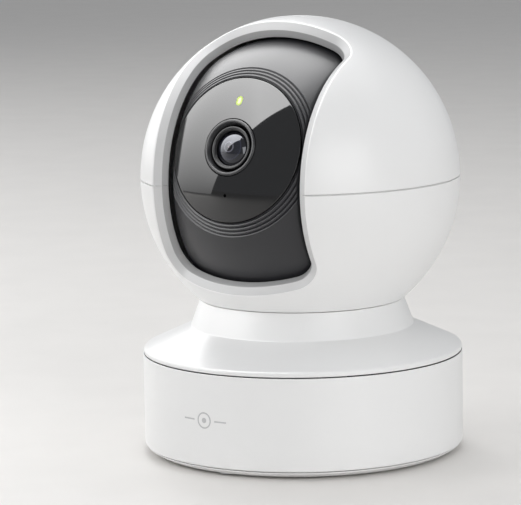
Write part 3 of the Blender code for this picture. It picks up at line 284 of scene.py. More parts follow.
def grain(made, scale, bump, depth, mottle, roughSpread):
    # Moulded grain: a fine noise of this scale for the bump, which has a strength and a depth in
    # metres, and a slow noise that varies the colour by a share and the roughness by an amount.
    shader = made.node_tree.nodes["Principled BSDF"]
    place = node(made, "ShaderNodeTexCoord")
    fine = node(made, "ShaderNodeTexNoise", Scale=scale, Detail=3.0, Roughness=0.55)
    link(made, place, "Object", fine, "Vector")
    bumps = node(made, "ShaderNodeBump", Strength=bump, Distance=depth)
    link(made, fine, "Fac", bumps, "Height")
    link(made, bumps, "Normal", shader, "Normal")
    slow = node(made, "ShaderNodeTexNoise", Scale=42.0, Detail=2.0)
    link(made, place, "Object", slow, "Vector")
    if mottle:
        colour = np.array(shader.inputs["Base Color"].default_value[:3])
        shades = node(made, "ShaderNodeValToRGB")
        shades.color_ramp.elements[0].position = 0.3
        shades.color_ramp.elements[1].position = 0.7
        shades.color_ramp.elements[0].color = (*(colour * (1 - mottle)), 1)
        shades.color_ramp.elements[1].color = (*np.minimum(colour * (1 + mottle), 1), 1)
        link(made, slow, "Fac", shades, "Fac")
        link(made, shades, "Color", shader, "Base Color")
    if roughSpread:
        rough = shader.inputs["Roughness"].default_value
        spread = node(made, "ShaderNodeMapRange")
        spread.inputs["To Min"].default_value = rough - roughSpread
        spread.inputs["To Max"].default_value = rough + roughSpread
        link(made, slow, "Fac", spread, "Value")
        link(made, spread, "Result", shader, "Roughness")
    return made


# Each line ends with the grain's scale, bump, depth, mottle and spread of roughness.
finishes = {
    "shellWhite": grain(
        finish("shellWhite", (0.86, 0.86, 0.855), 0.34, Coat_Weight=0.12, Coat_Roughness=0.25),
        1900, 0.10, 0.00008, 0.008, 0.03,
    ),
    # The lip is the same white plastic as the skin; these two greys are painted shade on its recessed outer
    # and inner bands.
    "lipOuterPaintedShade": grain(finish("lipOuterPaintedShade", (0.62, 0.62, 0.62), 0.42), 1900, 0.12, 0.00008, 0.01, 0.03),
    "lipInnerPaintedShade": grain(finish("lipInnerPaintedShade", (0.42, 0.42, 0.42), 0.45), 1900, 0.12, 0.00008, 0.01, 0.03),
    "drumGrey": grain(
        finish("drumGrey", (0.026, 0.026, 0.029), 0.36, Specular_IOR_Level=0.5),
        2600, 0.16, 0.00007, 0.06, 0.04,
    ),
    "windowBlack": grain(
        finish("windowBlack", (0.004, 0.004, 0.0045), 0.045, Coat_Weight=0.6, Coat_Roughness=0.02),
        600, 0.006, 0.00005, 0.0, 0.012,
    ),
    "hoodGrey": grain(finish("hoodGrey", (0.032, 0.032, 0.034), 0.24), 2400, 0.1, 0.00005, 0.05, 0.05),
    "barrelBlack": grain(finish("barrelBlack", (0.012, 0.012, 0.013), 0.28), 2200, 0.1, 0.00005, 0.05, 0.05),
    "lensCoating": grain(
        finish(
            "lensCoating", (0.006, 0.007, 0.012), 0.03,
            Coat_Weight=0.7, Coat_Roughness=0.01, Coat_Tint=(0.80, 0.84, 1.0, 1.0),
        ),
        500, 0.004, 0.00003, 0.0, 0.0,
    ),
    "statusGreen": grain(
        finish(
            "statusGreen", (0.40, 0.52, 0.05), 0.3,
            Emission_Color=(0.60, 0.85, 0.08, 1.0), Emission_Strength=0.16,
        ),
        900, 0.05, 0.00004, 0.12, 0.0,
    ),
    "statusGlow": grain(
        finish(
            "statusGlow", (0.75, 0.80, 0.42), 0.3,
            Emission_Color=(0.88, 1.0, 0.45, 1.0), Emission_Strength=0.4,
        ),
        900, 0.05, 0.00004, 0.08, 0.0,
    ),
    # seamShade is painted shade for the faces deep inside the seams.
    "seamShade": grain(finish("seamShade", (0.10, 0.10, 0.10), 0.8), 1900, 0.12, 0.00008, 0.05, 0.03),
    "markGrey": grain(finish("markGrey", (0.52, 0.52, 0.53), 0.4), 2400, 0.06, 0.00003, 0.03, 0.03),
    "footRubber": grain(finish("footRubber", (0.26, 0.26, 0.26), 0.82), 1300, 0.35, 0.0002, 0.08, 0.05),
    "jackBlack": grain(finish("jackBlack", (0.012, 0.012, 0.013), 0.45), 1500, 0.25, 0.0001, 0.1, 0.05),
    "screwSteel": grain(finish("screwSteel", (0.56, 0.56, 0.58), 0.3, 1.0), 900, 0.1, 0.00006, 0.08, 0.08),
    "pinBrass": grain(finish("pinBrass", (0.70, 0.56, 0.28), 0.26, 1.0), 900, 0.08, 0.00005, 0.08, 0.06),
    "boardGreen": grain(finish("boardGreen", (0.02, 0.13, 0.05), 0.42), 700, 0.2, 0.0001, 0.2, 0.08),
    "gearNylon": grain(finish("gearNylon", (0.72, 0.71, 0.66), 0.46), 1200, 0.12, 0.0001, 0.03, 0.05),
    "floorPale": grain(finish("floorPale", (0.78, 0.76, 0.735), 0.55), 260, 0.05, 0.0002, 0.015, 0.05),
}


def ringedGlass(made, rings, reachOfRings):
    # Colour by distance from the lens axis, as a share of the rings' reach: the pupil, the edges of
    # the inner elements, dark between; the pale centre and pale rings are painted reflection in them.
    shader = made.node_tree.nodes["Principled BSDF"]
    where = node(made, "ShaderNodeTexCoord")
    offset = node(made, "ShaderNodeVectorMath", operation="SUBTRACT")
    offset.inputs[1].default_value = ballCentre
    link(made, where, "Object", offset, 0)
    cross = node(made, "ShaderNodeVectorMath", operation="CROSS_PRODUCT")
    cross.inputs[1].default_value = lensAxis
    link(made, offset, "Vector", cross, 0)
    distance = node(made, "ShaderNodeVectorMath", operation="LENGTH")
    link(made, cross, "Vector", distance, 0)
    share = node(made, "ShaderNodeMath", operation="DIVIDE")
    share.inputs[1].default_value = reachOfRings
    link(made, distance, "Value", share, 0)
    shades = node(made, "ShaderNodeValToRGB")
    ramp = shades.color_ramp
    while len(ramp.elements) < len(rings):
        ramp.elements.new(0.5)
    for element, (reach, colour) in zip(ramp.elements, rings):
        element.position, element.color = reach, (*colour, 1)
    link(made, share, "Value", shades, "Fac")
    link(made, shades, "Color", shader, "Base Color")


dark, pupil = (0.003, 0.003, 0.005), (0.0008, 0.0008, 0.001)
# The inner elements are painted on the glass: the dark pupil and element edges, with painted reflection in
# the pale pinkish centre and pale rings.
ringedGlass(finishes["lensCoating"], [
    (0.0, (0.16, 0.10, 0.11)), (0.05, (0.16, 0.10, 0.11)), (0.07, pupil), (0.21, pupil),
    (0.24, (0.22, 0.20, 0.21)), (0.28, (0.10, 0.10, 0.11)), (0.31, dark), (0.60, (0.008, 0.009, 0.016)),
    (0.64, (0.03, 0.032, 0.05)), (0.67, dark), (1.0, dark),
], 5 * mm)
slotFinish = {
    "white_shell": "shellWhite", "drum_plastic": "drumGrey", "window_black": "windowBlack",
    "lens_ring": "hoodGrey", "black_plastic": "jackBlack", "rubber": "footRubber",
    "steel": "screwSteel", "brass": "pinBrass", "board": "boardGreen", "nylon": "gearNylon",
    "lens_glass": "lensCoating", "status_light": "statusGreen",
}
for entry in frame["record"]["subparts"]:  # the hidden and plain parts keep their solids
    cadNode = frame["nodes"][entry["node"]]
    cadNode.data.materials.clear()
    cadNode.data.materials.append(finishes[slotFinish[entry["material_slot"]]])
print("finishes made")

ball = {
    "halfWidth": 23.6 * mm,  # of the opening, at the ball's skin
    "bottom": math.radians(-41.0),  # round the X axis, from straight ahead
    "top": math.radians(78.5),
    "corner": 6.5 * mm,
    "leastCorner": 1.2 * mm,
    # the lip's section from the skin inwards, as (depth, inset) in mm, and the round at each corner
    "lip": [(0.0, -1.4), (0.0, 0.0), (2.15, 1.12), (4.2, 0.86), (4.2, -2.3), (2.2, -3.2)],
    "lipRounds": [0, 0.45, 0.22, 0.22, 0.3, 0],
    "seam": 0.16 * mm,  # half the gap at the skin
    "seamSlit": 0.03 * mm,  # half the gap deeper in the wall
    "seamEdge": 0.12 * mm,
    "wall": 2.2 * mm,
    "skinRings": 110,
    "poleTilt": math.radians(12.0),  # the skin's lines meet at the back, this far up
    "neckCut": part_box("base_shoulder")[1].z + 0.4 * mm,  # the outer skin ends at this height
    "neckBore": 7.5 * mm,
    "neckBoss": 16.0 * mm,
    "neckOverlap": 2.5,  # degrees that the neck reaches up inside the ball
    "holeRadius": 0.55 * mm,
    "holeSpacing": 1.75 * mm,
}


def openingRings(radius, inset):
    # A rectangle with round corners, wrapped on the ball: x across, and an angle about the X axis.
    half = ball["halfWidth"] * radius / ballRadius - inset
    around = np.sqrt(radius**2 - half**2)
    low, high = ball["bottom"] * around + inset, ball["top"] * around - inset
    corner = np.maximum(ball["corner"] * radius / ballRadius - inset, ball["leastCorner"])
    a, b = half - corner, high - corner
    c, d = -half + corner, low + corner
    quarter = np.linspace(0, math.pi / 2, 22)
    long, short = np.linspace(0, 1, 108)[1:-1], np.linspace(0, 1, 62)[1:-1]
    across, along = [], []
    for i, (cx, cy) in enumerate(((a, b), (c, b), (c, d), (a, d))):
        turn = quarter + i * math.pi / 2
        across.append(cx + corner * np.cos(turn)[:, None])
        along.append(cy + corner * np.sin(turn)[:, None])
        nextX, nextY = ((c, b), (c, d), (a, d), (a, b))[i]
        after = math.pi / 2 * (i + 1)
        t = (short if i % 2 == 0 else long)[:, None]
        fromX, fromY = cx + corner * math.cos(after), cy + corner * math.sin(after)
        toX, toY = nextX + corner * math.cos(after), nextY + corner * math.sin(after)
        across.append(fromX + (toX - fromX) * t)
        along.append(fromY + (toY - fromY) * t)
    x, angle = np.concatenate(across), np.concatenate(along) / around
    reach = np.sqrt(radius**2 - x**2)
    return ballCentre + np.stack([x, -reach * np.cos(angle), reach * np.sin(angle)], -1)


def skinRings(edge, radius, count):
    # From the opening's edge over the ball to the point at its back, along great circles.
    pole = np.array([0.0, math.cos(ball["poleTilt"]), math.sin(ball["poleTilt"])])
    start = (edge - ballCentre) / np.linalg.norm(edge - ballCentre, axis=1, keepdims=True)
    whole = np.arccos(np.clip(start @ pole, -1, 1))[:, None, None]
    t = np.linspace(0, 1, count)[None, :, None]
    mixed = np.sin((1 - t) * whole) * start[:, None] + np.sin(t * whole) * pole
    return ballCentre + radius * mixed / np.sin(whole)


def ballShell():
    # Rings carried along the lip's section, then over the skin outside and the wall's face inside.
    depth, inset = roundedPath(ball["lip"], ball["lipRounds"], 6).T * mm
    radius = ballRadius - depth
    lip = openingRings(radius, inset)
    outer = skinRings(lip[:, 0], ballRadius, ball["skinRings"])
    inner = skinRings(lip[:, -1], ballRadius - ball["wall"], ball["skinRings"] // 2)
    points = np.concatenate([outer[:, :0:-1], lip, inner[:, 1:]], 1)
    rows, columns = points.shape[:2]
    faces = gridFaces(rows, columns, True, False)
    first = len(outer[0]) - 1
    # The lip's bands take the greyer finishes: painted shade of the recess, not a different plastic.
    bands = np.zeros(columns - 1)  # 0 the skin, 1 the lip's outer band, 2 its inner band
    bands[first + np.flatnonzero(depth > 0.2 * mm)] = 1
    bands[first + np.flatnonzero(depth > 2.1 * mm)] = 2
    shell = meshPiece("ballShell", points.reshape(-1, 3), faces, None, slots=np.tile(bands, rows))
    for key in ("shellWhite", "lipOuterPaintedShade", "lipInnerPaintedShade"):
        shell.data.materials.append(finishes[key])
    return shell


def splitAt(piece, name, height, keepAbove):
    # A copy of the faces on one side of the seam, as a piece of its own.
    mesh = piece.data.copy()
    work = bmesh.new()
    work.from_mesh(mesh)
    wrong = [f for f in work.faces if (f.calc_center_median().z > height) != keepAbove]
    bmesh.ops.delete(work, geom=wrong, context="FACES")
    work.to_mesh(mesh)
    work.free()
    return finished(name, mesh, None, 32)  # as shaped leaves its edges


def seamRing():
    # A thin ring round the ball's middle, wider near the skin and flared at it, to soften the edges.
    half, flare = ball["seam"], ball["seam"] + ball["seamEdge"]
    skin = ballRadius - 1.2 * ball["seamEdge"]
    inside, outside = 30 * mm, skin + 2 * ball["seamEdge"]
    slit, step = ball["seamSlit"], skin - 0.5 * mm
    outline = [
        (inside, -slit), (step, -slit), (step, -half), (skin, -half), (outside, -flare),
        (outside, flare), (skin, half), (step, half), (step, slit), (inside, slit),
    ]
    return turnedPiece("seamRing", np.array(outline) + (0, ballCentre[2]), None, turns=240)


def ballSkirt():
    # The smaller neck of the lower shell: it turns in the base's bowl and carries the pan gear.
    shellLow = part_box("lower_shell")[0].z
    radius = ballCentre[2] - shellLow
    inside = radius - ball["wall"]
    bore, boss, centre = ball["neckBore"], ball["neckBoss"], (0, ballCentre[2])
    foot = -math.degrees(math.acos(boss / radius))
    top = ball["neckOverlap"] - math.degrees(math.asin((ballCentre[2] - ball["neckCut"]) / radius))
    floor = -math.degrees(math.acos(bore / inside))
    profile = np.concatenate([
        [(bore, shellLow), (boss, shellLow)],
        arcPoints(radius, foot, top, 24, centre),
        arcPoints(inside, top, floor, 36, centre),
    ])
    return turnedPiece("ballSkirt", profile, None, turns=200)


def speakerHoles():
    # Rings of small round holes at the back of the ball, low down.
    tilt = -lensTilt
    out = np.array([0.0, math.cos(tilt), math.sin(tilt)])
    up = np.array([0.0, -math.sin(tilt), math.cos(tilt)])
    place = aimed(out, up, ballCentre + out * ballRadius)
    hole = circle(ball["holeRadius"], 16)
    cutters = [prism("speakerHole", hole, place, 8 * mm)]
    for ring in (1, 2, 3):
        for i in range(6 * ring):
            turn = 2 * math.pi * i / (6 * ring)
            shift = np.array([math.cos(turn), math.sin(turn)]) * ball["holeSpacing"] * ring
            cutters.append(prism("speakerHole", hole + shift, place, 8 * mm))
    return cutters


whole = ballShell()
shaped(whole, [seamRing()], solver="MANIFOLD")
upperShell = splitAt(whole, "upperShell", ballCentre[2], True)
lowerShell = splitAt(whole, "lowerShell", ballCentre[2], False)
bpy.data.objects.remove(whole)
block = roundedBox(120 * mm, 120 * mm, 10 * mm)
belowNeck = prism("belowNeck", block, upright(0, 0, ball["neckCut"] - 30 * mm), 60 * mm)
shaped(lowerShell, [belowNeck], solver="MANIFOLD")
shaped(lowerShell, [ballSkirt()], "UNION", "MANIFOLD")
shaped(lowerShell, speakerHoles(), solver="MANIFOLD")
for shell, cadNode in ((upperShell, "upper_shell"), (lowerShell, "lower_shell")):
    settle(shell, "head", "white_shell", cadNode)
print("ball shells made")

base = {
    "neckTop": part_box("base_shoulder")[1].z,
    "rimSeam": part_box("base_housing")[1].z + 0.3 * mm,
    "inset": 0.2 * mm,  # of the shoulder and the bottom cover from the housing's skin
    "neckRadius": 27.55 * mm,
    "neckFoot": (30.2 * mm, 34.2 * mm),  # radius and height
    "bowl": 41.6 * mm,  # radius about the ball's middle
    "deckBore": 16.7 * mm,
    "slope": math.radians(24.3),
    "shoulderRound": 1.7 * mm,
    # the shoulder's underside from the rim to the motor's deck, as (radius, height) in mm
    "underside": [
        (40.9, 27.9), (38.0, 28.9), (29.3, 32.0), (27.6, 33.4), (22.5, 36.6), (18.7, 34.6),
        (18.7, 29.8), (11.4, 29.8), (11.4, 32.2), (16.7, 32.2),
    ],
    "wall": 2.2 * mm,
    "rebate": (0.9 * mm, 1.2 * mm),  # width of the housing's upper edge, and depth behind it
    "coverBevel": 2.3 * mm,
    "coverLip": 1.1 * mm,
    "coverRib": 1.3 * mm,
    "socketGap": 0.5 * mm,  # round the socket in its window, both sides together
    "printRise": 0.03 * mm,  # of the printed mark over the wall
}
# Round posts, recesses and holes, as radius, middle height and length.
postsAndHoles = {
    "motorPost": (2.4 * mm, 30.5 * mm, 14.8 * mm),
    "screwBoss": (3.4 * mm, 10.6 * mm, 13.8 * mm),
    "footRecess": (5.15 * mm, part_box("base_bottom_cover")[0].z, 1.2 * mm),
    "screwSink": (2.6 * mm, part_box("base_bottom_cover")[0].z, 1.6 * mm),
    "screwHole": (1.5 * mm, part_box("base_bottom_cover")[0].z, 8 * mm),
}
base["bowlTop"] = math.sqrt(base["bowl"] ** 2 - (ballCentre[2] - base["neckTop"]) ** 2)


def shadeSeam(piece, radius, low, high):
    # The hidden faces inside a seam, within this radius and between these heights, take a dark
    # finish: painted shade, for the shadow deep in the gap.
    mesh = piece.data
    centres = np.empty(len(mesh.polygons) * 3)
    mesh.polygons.foreach_get("center", centres)
    x, y, z = centres.reshape(-1, 3).T
    mesh.materials.append(finishes["seamShade"])
    hidden = (z > low) & (z < high) & (np.hypot(x, y) < radius)
    mesh.polygons.foreach_set("material_index", hidden.astype(np.int32))


def roundBody(kind, cadNode, steps=48):
    # One of the round posts, recesses or holes, in line with this CAD node.
    radius, height, length = postsAndHoles[kind]
    x, y = middleOf(cadNode)[:2]
    return prism(kind, circle(radius, steps), upright(x, y, height), length)


def baseShoulder():
    # Neck, flare, straight slope and a large round down to the rim, then the bowl and deck inside.
    outer = baseRadius - base["inset"]
    footRadius, footHeight = base["neckFoot"]
    corner = (outer, footHeight - (outer - footRadius) * math.tan(base["slope"]))
    rim = base["rimSeam"]
    outside = [
        (base["bowlTop"], base["neckTop"]), (base["neckRadius"], base["neckTop"] + 0.2 * mm),
        (footRadius, footHeight), corner, (outer, rim), (outer - base["wall"], rim),
    ]
    softened = [0, 0.2 * mm, 0.5 * mm, base["shoulderRound"], 0.12 * mm, 0]
    low = -math.degrees(math.acos(base["deckBore"] / base["bowl"]))
    high = -math.degrees(math.asin((ballCentre[2] - base["neckTop"]) / base["bowl"]))
    bowl = arcPoints(base["bowl"], low, high, 20, (0, ballCentre[2]))[:-1]
    under = np.array(base["underside"]) * mm
    profile = np.concatenate([roundedPath(outside, softened, 12), under, bowl])
    shoulder = turnedPiece("baseShoulder", profile, finishes["shellWhite"], turns=256)
    # Painted shade inside the seam under the shoulder.
    shadeSeam(shoulder, outer - 0.2 * mm, 0, rim + 0.8 * mm)
    posts = [roundBody("motorPost", f"pan_motor_screw_{i}") for i in (1, 2)]
    return shaped(shoulder, posts, "UNION", "MANIFOLD")


def baseHousing():
    # A short drum with small round edges, three screw bosses inside and the socket's window.
    low, high = (corner.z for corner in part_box("base_housing"))
    inner, outer = baseRadius - base["wall"], baseRadius - base["printRise"]
    rebate, ledge = outer - base["rebate"][0], high - base["rebate"][1]
    corners = [(inner, low), (outer, low), (outer, high), (rebate, high), (rebate, ledge), (inner, ledge)]
    profile = spaced(roundedPath(corners, [0, 0.35 * mm, 0.12 * mm, 0, 0, 0], 8), 4 * mm)
    housing = turnedPiece("baseHousing", profile, finishes["shellWhite"], turns=256)
    # Painted shade inside the seam at the housing's upper edge.
    shadeSeam(housing, outer - 0.2 * mm, ledge - 0.1 * mm, high + mm)
    bosses = [roundBody("screwBoss", f"cover_screw_{i}") for i in (1, 2, 3)]
    shaped(housing, bosses, "UNION", "MANIFOLD")
    jackLow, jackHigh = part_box("dc_jack")
    side = jackHigh.x - jackLow.x + base["socketGap"]
    window = aimed((0, 1, 0), (0, 0, 1), (0, baseRadius, middleOf("dc_jack")[2]))
    return shaped(housing, [prism("socketWindow", roundedBox(side, side, 1.0 * mm), window, 10 * mm)])


def bottomCover():
    # A plate with a bevelled edge, round recesses for the feet and sunk holes for the screws.
    low, high = (corner.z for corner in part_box("base_bottom_cover"))
    outer, inner = baseRadius - base["inset"], baseRadius - base["wall"] - 0.3 * mm
    ledge, rib = high - base["coverLip"], inner - base["coverRib"]
    corners = np.array([
        (0, low), (outer - base["coverBevel"], low), (outer, ledge), (inner, ledge),
        (inner, high), (rib, high), (rib, ledge), (0, ledge),
    ])
    profile = roundedPath(corners, [0, 0.8 * mm, 0.15 * mm, 0, 0.2 * mm, 0.2 * mm, 0, 0], 8)
    plate = turnedPiece("bottomCover", spaced(profile, 6 * mm), finishes["shellWhite"], turns=240)
    cutters = [roundBody("footRecess", f"foot_pad_{i}") for i in (1, 2, 3, 4)]
    for i in (1, 2, 3):
        cutters.append(roundBody("screwSink", f"cover_screw_{i}", 32))
        cutters.append(roundBody("screwHole", f"cover_screw_{i}", 24))
    return shaped(plate, cutters, solver="MANIFOLD")


def footPad(i):
    # A low disc with a bevelled foot and a rounded rim.
    low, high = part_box(f"foot_pad_{i}")
    radius, height = (high.x - low.x) / 2, high.z
    corners = [(0, 0), (radius - 0.6 * mm, 0), (radius, 0.45 * mm), (radius, height), (0, height)]
    profile = roundedPath(np.array(corners, float), [0, 0.5 * mm, 0.3 * mm, 0.05 * mm, 0], 6)
    x, y = middleOf(f"foot_pad_{i}")[:2]
    return turnedPiece(f"footPad{i}", profile, finishes["footRubber"], upright(x, y, 0), turns=64)


socket = {
    "corner": 0.7 * mm,
    # the bore's section from its floor outwards, as (radius, height over the face) in mm
    "bore": [(0, -9.6), (3.1, -9.6), (3.1, -0.5), (3.7, 0.1), (3.7, 1.0), (0, 1.0)],
    "pinRound": 0.6,  # of the pin's radius
}


def powerSocket():
    # A square body with round corners, a flared bore, and a pin with a round end.
    low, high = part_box("dc_jack")
    width, length = high.x - low.x, high.y - low.y
    middle = middleOf("dc_jack")
    backwards, up = (0, 1, 0), (0, 0, 1)
    outline = roundedBox(width, width, socket["corner"])
    body = prism("powerSocket", outline, aimed(backwards, up, middle), length, finishes["jackBlack"])
    mouth = aimed(backwards, up, (0, high.y, middle[2]))
    shaped(body, [turnedPiece("socketBore", np.array(socket["bore"]) * mm, None, mouth, turns=64)])
    pinLow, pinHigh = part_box("dc_jack_pin")
    radius = (pinHigh.x - pinLow.x) / 2
    corners = np.array([(0, pinLow.y), (radius, pinLow.y), (radius, pinHigh.y), (0, pinHigh.y)])
    profile = roundedPath(corners, [0, 0, socket["pinRound"] * radius, 0], 8)
    pin = turnedPiece("socketPin", profile, finishes["pinBrass"], aimed(backwards, up, (0, 0, middle[2])))
    return body, pin


settle(baseShoulder(), "base", "white_shell", "base_shoulder")
settle(baseHousing(), "base", "white_shell", "base_housing")
settle(bottomCover(), "base", "white_shell", "base_bottom_cover")
for i in (1, 2, 3, 4):
    settle(footPad(i), "base", "rubber", f"foot_pad_{i}")
socketBody, socketPin = powerSocket()
settle(socketBody, "base", "black_plastic", "dc_jack")
settle(socketPin, "base", "brass", "dc_jack_pin")
print("base made")

drum = {
    "radius": 38.0 * mm,
    "halfWidth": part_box("drum_shell")[1].x,
    "edge": 2.0 * mm,
    "wall": 1.8 * mm,
    "back": 6.8 * mm,  # the open back's plane, behind the tilt axis
    "grooves": (19.75, 20.65, 21.55, 22.4),  # radii round the lens axis, in mm
    "grooveDepth": 0.34 * mm,
    "frontBore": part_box("lens_window")[1].x - 4.0 * mm,
    "plate": 1.6 * mm,
    "pinHole": 3.3 * mm,
    "cardSlot": (12.0 * mm, 1.5 * mm, 0.5 * mm),  # width, height and corner
    "cardAngle": math.radians(-66.0),
    "buttonAngle": -buttonBelow,
    "buttonRadius": 1.5 * mm,
    "buttonLength": 4.2 * mm,
    "buttonGap": 0.2 * mm,
}
window = {
    "radius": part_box("lens_window")[1].x,
    "rimHeight": 2.4 * mm,
    "dome": 4.0 * mm,
    "edge": 0.3 * mm,
    "seatGap": 0.3 * mm,
    "seatWidth": 3 * mm,
    "hole": 7.62 * mm,
    "soundHole": 0.42 * mm,
    "lightRise": drum["frontBore"] - 2.6 * mm,  # over the lens, and of the sound hole under it
    "light": (1.75 * mm, 2.6 * mm),  # width and height
    "lightCore": (0.46, 0.62),  # shares of these that its bright core takes
}
window["rim"] = math.sqrt(drum["radius"] ** 2 - window["radius"] ** 2)  # its edge meets the drum's skin
window["curve"] = (window["radius"] ** 2 + window["dome"] ** 2) / (2 * window["dome"])
drum["seat"] = window["rim"] - window["rimHeight"] - window["seatGap"]
drum["seatRadius"] = window["radius"] + 0.25 * mm


def onFace(angle):
    # A place on the drum's face, with Z out and Y up; the angle is taken up from the lens axis.
    out = math.cos(angle) * lensAxis + math.sin(angle) * lensUp
    return aimed(out, lensUp, ballCentre + out * drum["radius"])


def atDepth(depth, up=0.0):
    # A place this far in front of the tilt axis, on the lens axis or up from it.
    return aimed(lensAxis, lensUp, ballCentre + lensAxis * depth + lensUp * up)


def drumBody(name, radius, halfWidth, edge, turns=300):
    # A slab of a ball turned round X: the flat sides meet the skin in a round of the edge's radius.
    centre = math.sqrt((radius - edge) ** 2 - (halfWidth - edge) ** 2), halfWidth - edge
    side = math.degrees(math.atan2(centre[1], centre[0]))
    profile = np.concatenate([
        [(0, -halfWidth)],
        arcPoints(edge, -90, -side, 10, (centre[0], -centre[1])),
        arcPoints(radius, -side, side, 44)[1:-1],
        arcPoints(edge, side, 90, 10, centre),
        [(0, halfWidth)],
    ])
    return turnedPiece(name, profile, finishes["drumGrey"], aimed(sideways, lensUp, ballCentre), turns)


def slab(name, nearest, furthest):
    # Everything between two distances along the lens axis.
    middle = ballCentre + lensAxis * (nearest + furthest) / 2
    return prism(name, roundedBox(0.2, 0.2, 0.02), aimed(lensAxis, lensUp, middle), furthest - nearest)


def grooveRing(radius):
    # A V cut that follows the drum's skin round the lens axis, at one radius from it.
    height = math.sqrt(drum["radius"] ** 2 - radius**2)
    slope = np.array([radius, height]) / drum["radius"]
    side = np.array([slope[1], -slope[0]])
    middle = np.array([radius, height])
    depth = drum["grooveDepth"]
    profile = [middle - slope * depth, middle + side * depth, middle + slope * depth, middle - side * depth]
    return turnedPiece("groove", profile, None, lensPlace, turns=240)


def drumShell():
    # The slab of a ball, open at its back and hollow, less the window's seat, the bores and the slots.
    radius, wall = drum["radius"], drum["wall"]
    shell = drumBody("drumShell", radius, drum["halfWidth"], drum["edge"])
    shaped(shell, [slab("frontOfDrum", -drum["back"], 0.1)], "INTERSECT", "MANIFOLD")
    hollow = drumBody("drumHollow", radius - wall, drum["halfWidth"] - wall, 1 * mm, 160)
    shaped(hollow, [slab("hollowOfDrum", -0.1, drum["seat"] - drum["plate"])], "INTERSECT", "MANIFOLD")
    buttonHole = drum["buttonRadius"] + drum["buttonGap"]
    cutters = [
        hollow,
        prism("windowSeat", circle(drum["seatRadius"], 160), atDepth(drum["seat"] + 10 * mm), 20 * mm),
        prism("frontBore", circle(drum["frontBore"], 96), atDepth(drum["seat"] - 5 * mm), 16 * mm),
        prism("pinHole", circle(drum["pinHole"]), aimed(sideways, lensUp, ballCentre), 100 * mm),
        prism("cardSlot", roundedBox(*drum["cardSlot"]), onFace(drum["cardAngle"]), 9 * mm),
        prism("buttonHole", circle(buttonHole, 64), onFace(drum["buttonAngle"]), 9 * mm),
    ]
    cutters += [grooveRing(r * mm) for r in drum["grooves"]]
    return shaped(shell, cutters, solver="MANIFOLD")


def resetButton():
    # A small pin with a rounded rim and a shallow dish in its face.
    radius, length = drum["buttonRadius"], drum["buttonLength"]
    corners = np.array([(0, -length), (radius, -length), (radius, -0.02 * mm), (0, -0.15 * mm)])
    profile = roundedPath(corners, [0, 0, 0.3 * mm, 0], 8)
    return turnedPiece("resetButton", profile, finishes["hoodGrey"], onFace(drum["buttonAngle"]), turns=64)


def domeHeight(radius):
    # Height of the window's face over the tilt axis, at this distance from the lens axis.
    middle = window["rim"] + window["dome"] - window["curve"]
    return middle + np.sqrt(window["curve"] ** 2 - np.asarray(radius) ** 2)


def windowDisc():
    # A shallow dome with a rounded rim that stands on a seat, round a bore for the lens.
    hole, radius, rim, edge = window["hole"], window["radius"], window["rim"], window["edge"]
    reach = np.linspace(hole + edge / 2, radius - edge, 40)
    face = np.stack([reach, domeHeight(reach)], 1)
    skirt = arcPoints(edge, 66, 0, 6, (radius - edge, domeHeight(radius - edge) - edge))
    seat, foot = drum["seat"] + window["seatGap"], radius - window["seatWidth"]
    back = [(radius, seat), (foot, seat), (foot, rim - 1.4 * mm)]
    inner = [(hole, rim - 0.7 * mm), (hole, domeHeight(hole) - edge / 2)]
    profile = np.concatenate([inner, face, skirt[1:], back])
    disc = turnedPiece("lensWindow", profile, finishes["windowBlack"], lensPlace, turns=300)
    lightHole = pill(*np.add(window["light"], 0.1 * mm))
    cutters = [
        prism("lightHole", lightHole, atDepth(35 * mm, window["lightRise"]), 16 * mm),
        prism("soundHole", circle(window["soundHole"], 32), atDepth(35 * mm, -window["lightRise"]), 16 * mm),
    ]
    return shaped(disc, cutters, solver="MANIFOLD")


# Sections as (radius, height over the window's crown) in mm, with the round at each corner.
lens = {
    "crown": domeHeight(7.8 * mm),
    "hood": [(6.05, -12), (7.5, -12), (7.5, 0.35), (6.75, 0.35), (6.3, -0.55), (6.05, -2.0)],
    "hoodRounds": [0, 0, 0.35, 0.25, 0.3, 0],
    "barrel": [
        (0, -24), (5.7, -24), (5.7, -0.25), (5.25, -0.25), (5.12, -0.45), (4.98, -0.45),
        (4.9, -0.8), (4.76, -0.8), (4.66, -1.2), (4.62, -5), (0, -5),
    ],
    "barrelRounds": [0, 0, 0.25, 0.12, 0.04, 0.04, 0.04, 0.04, 0.04, 0, 0],
    "glassRadius": 4.55 * mm,
    "glassCurve": 6.1 * mm,
    "glassBack": -4.4 * mm,  # from the crown, as the edge of the glass is
    "glassEdge": -1.3 * mm,
}


def lensHood():
    # The outer ring: a rounded land, then a smooth funnel to its bore.
    corners = np.array(lens["hood"]) * mm + (0, lens["crown"])
    profile = roundedPath(corners, np.array(lens["hoodRounds"]) * mm, 8)
    return turnedPiece("lensHood", profile, finishes["hoodGrey"], lensPlace, turns=160)


def lensBarrel():
    # The inner ring with fine steps down to the glass, and the closed tube behind it.
    corners = np.array(lens["barrel"]) * mm + (0, lens["crown"])
    profile = roundedPath(corners, np.array(lens["barrelRounds"]) * mm, 6)
    return turnedPiece("lensBarrel", profile, finishes["barrelBlack"], lensPlace, turns=160)


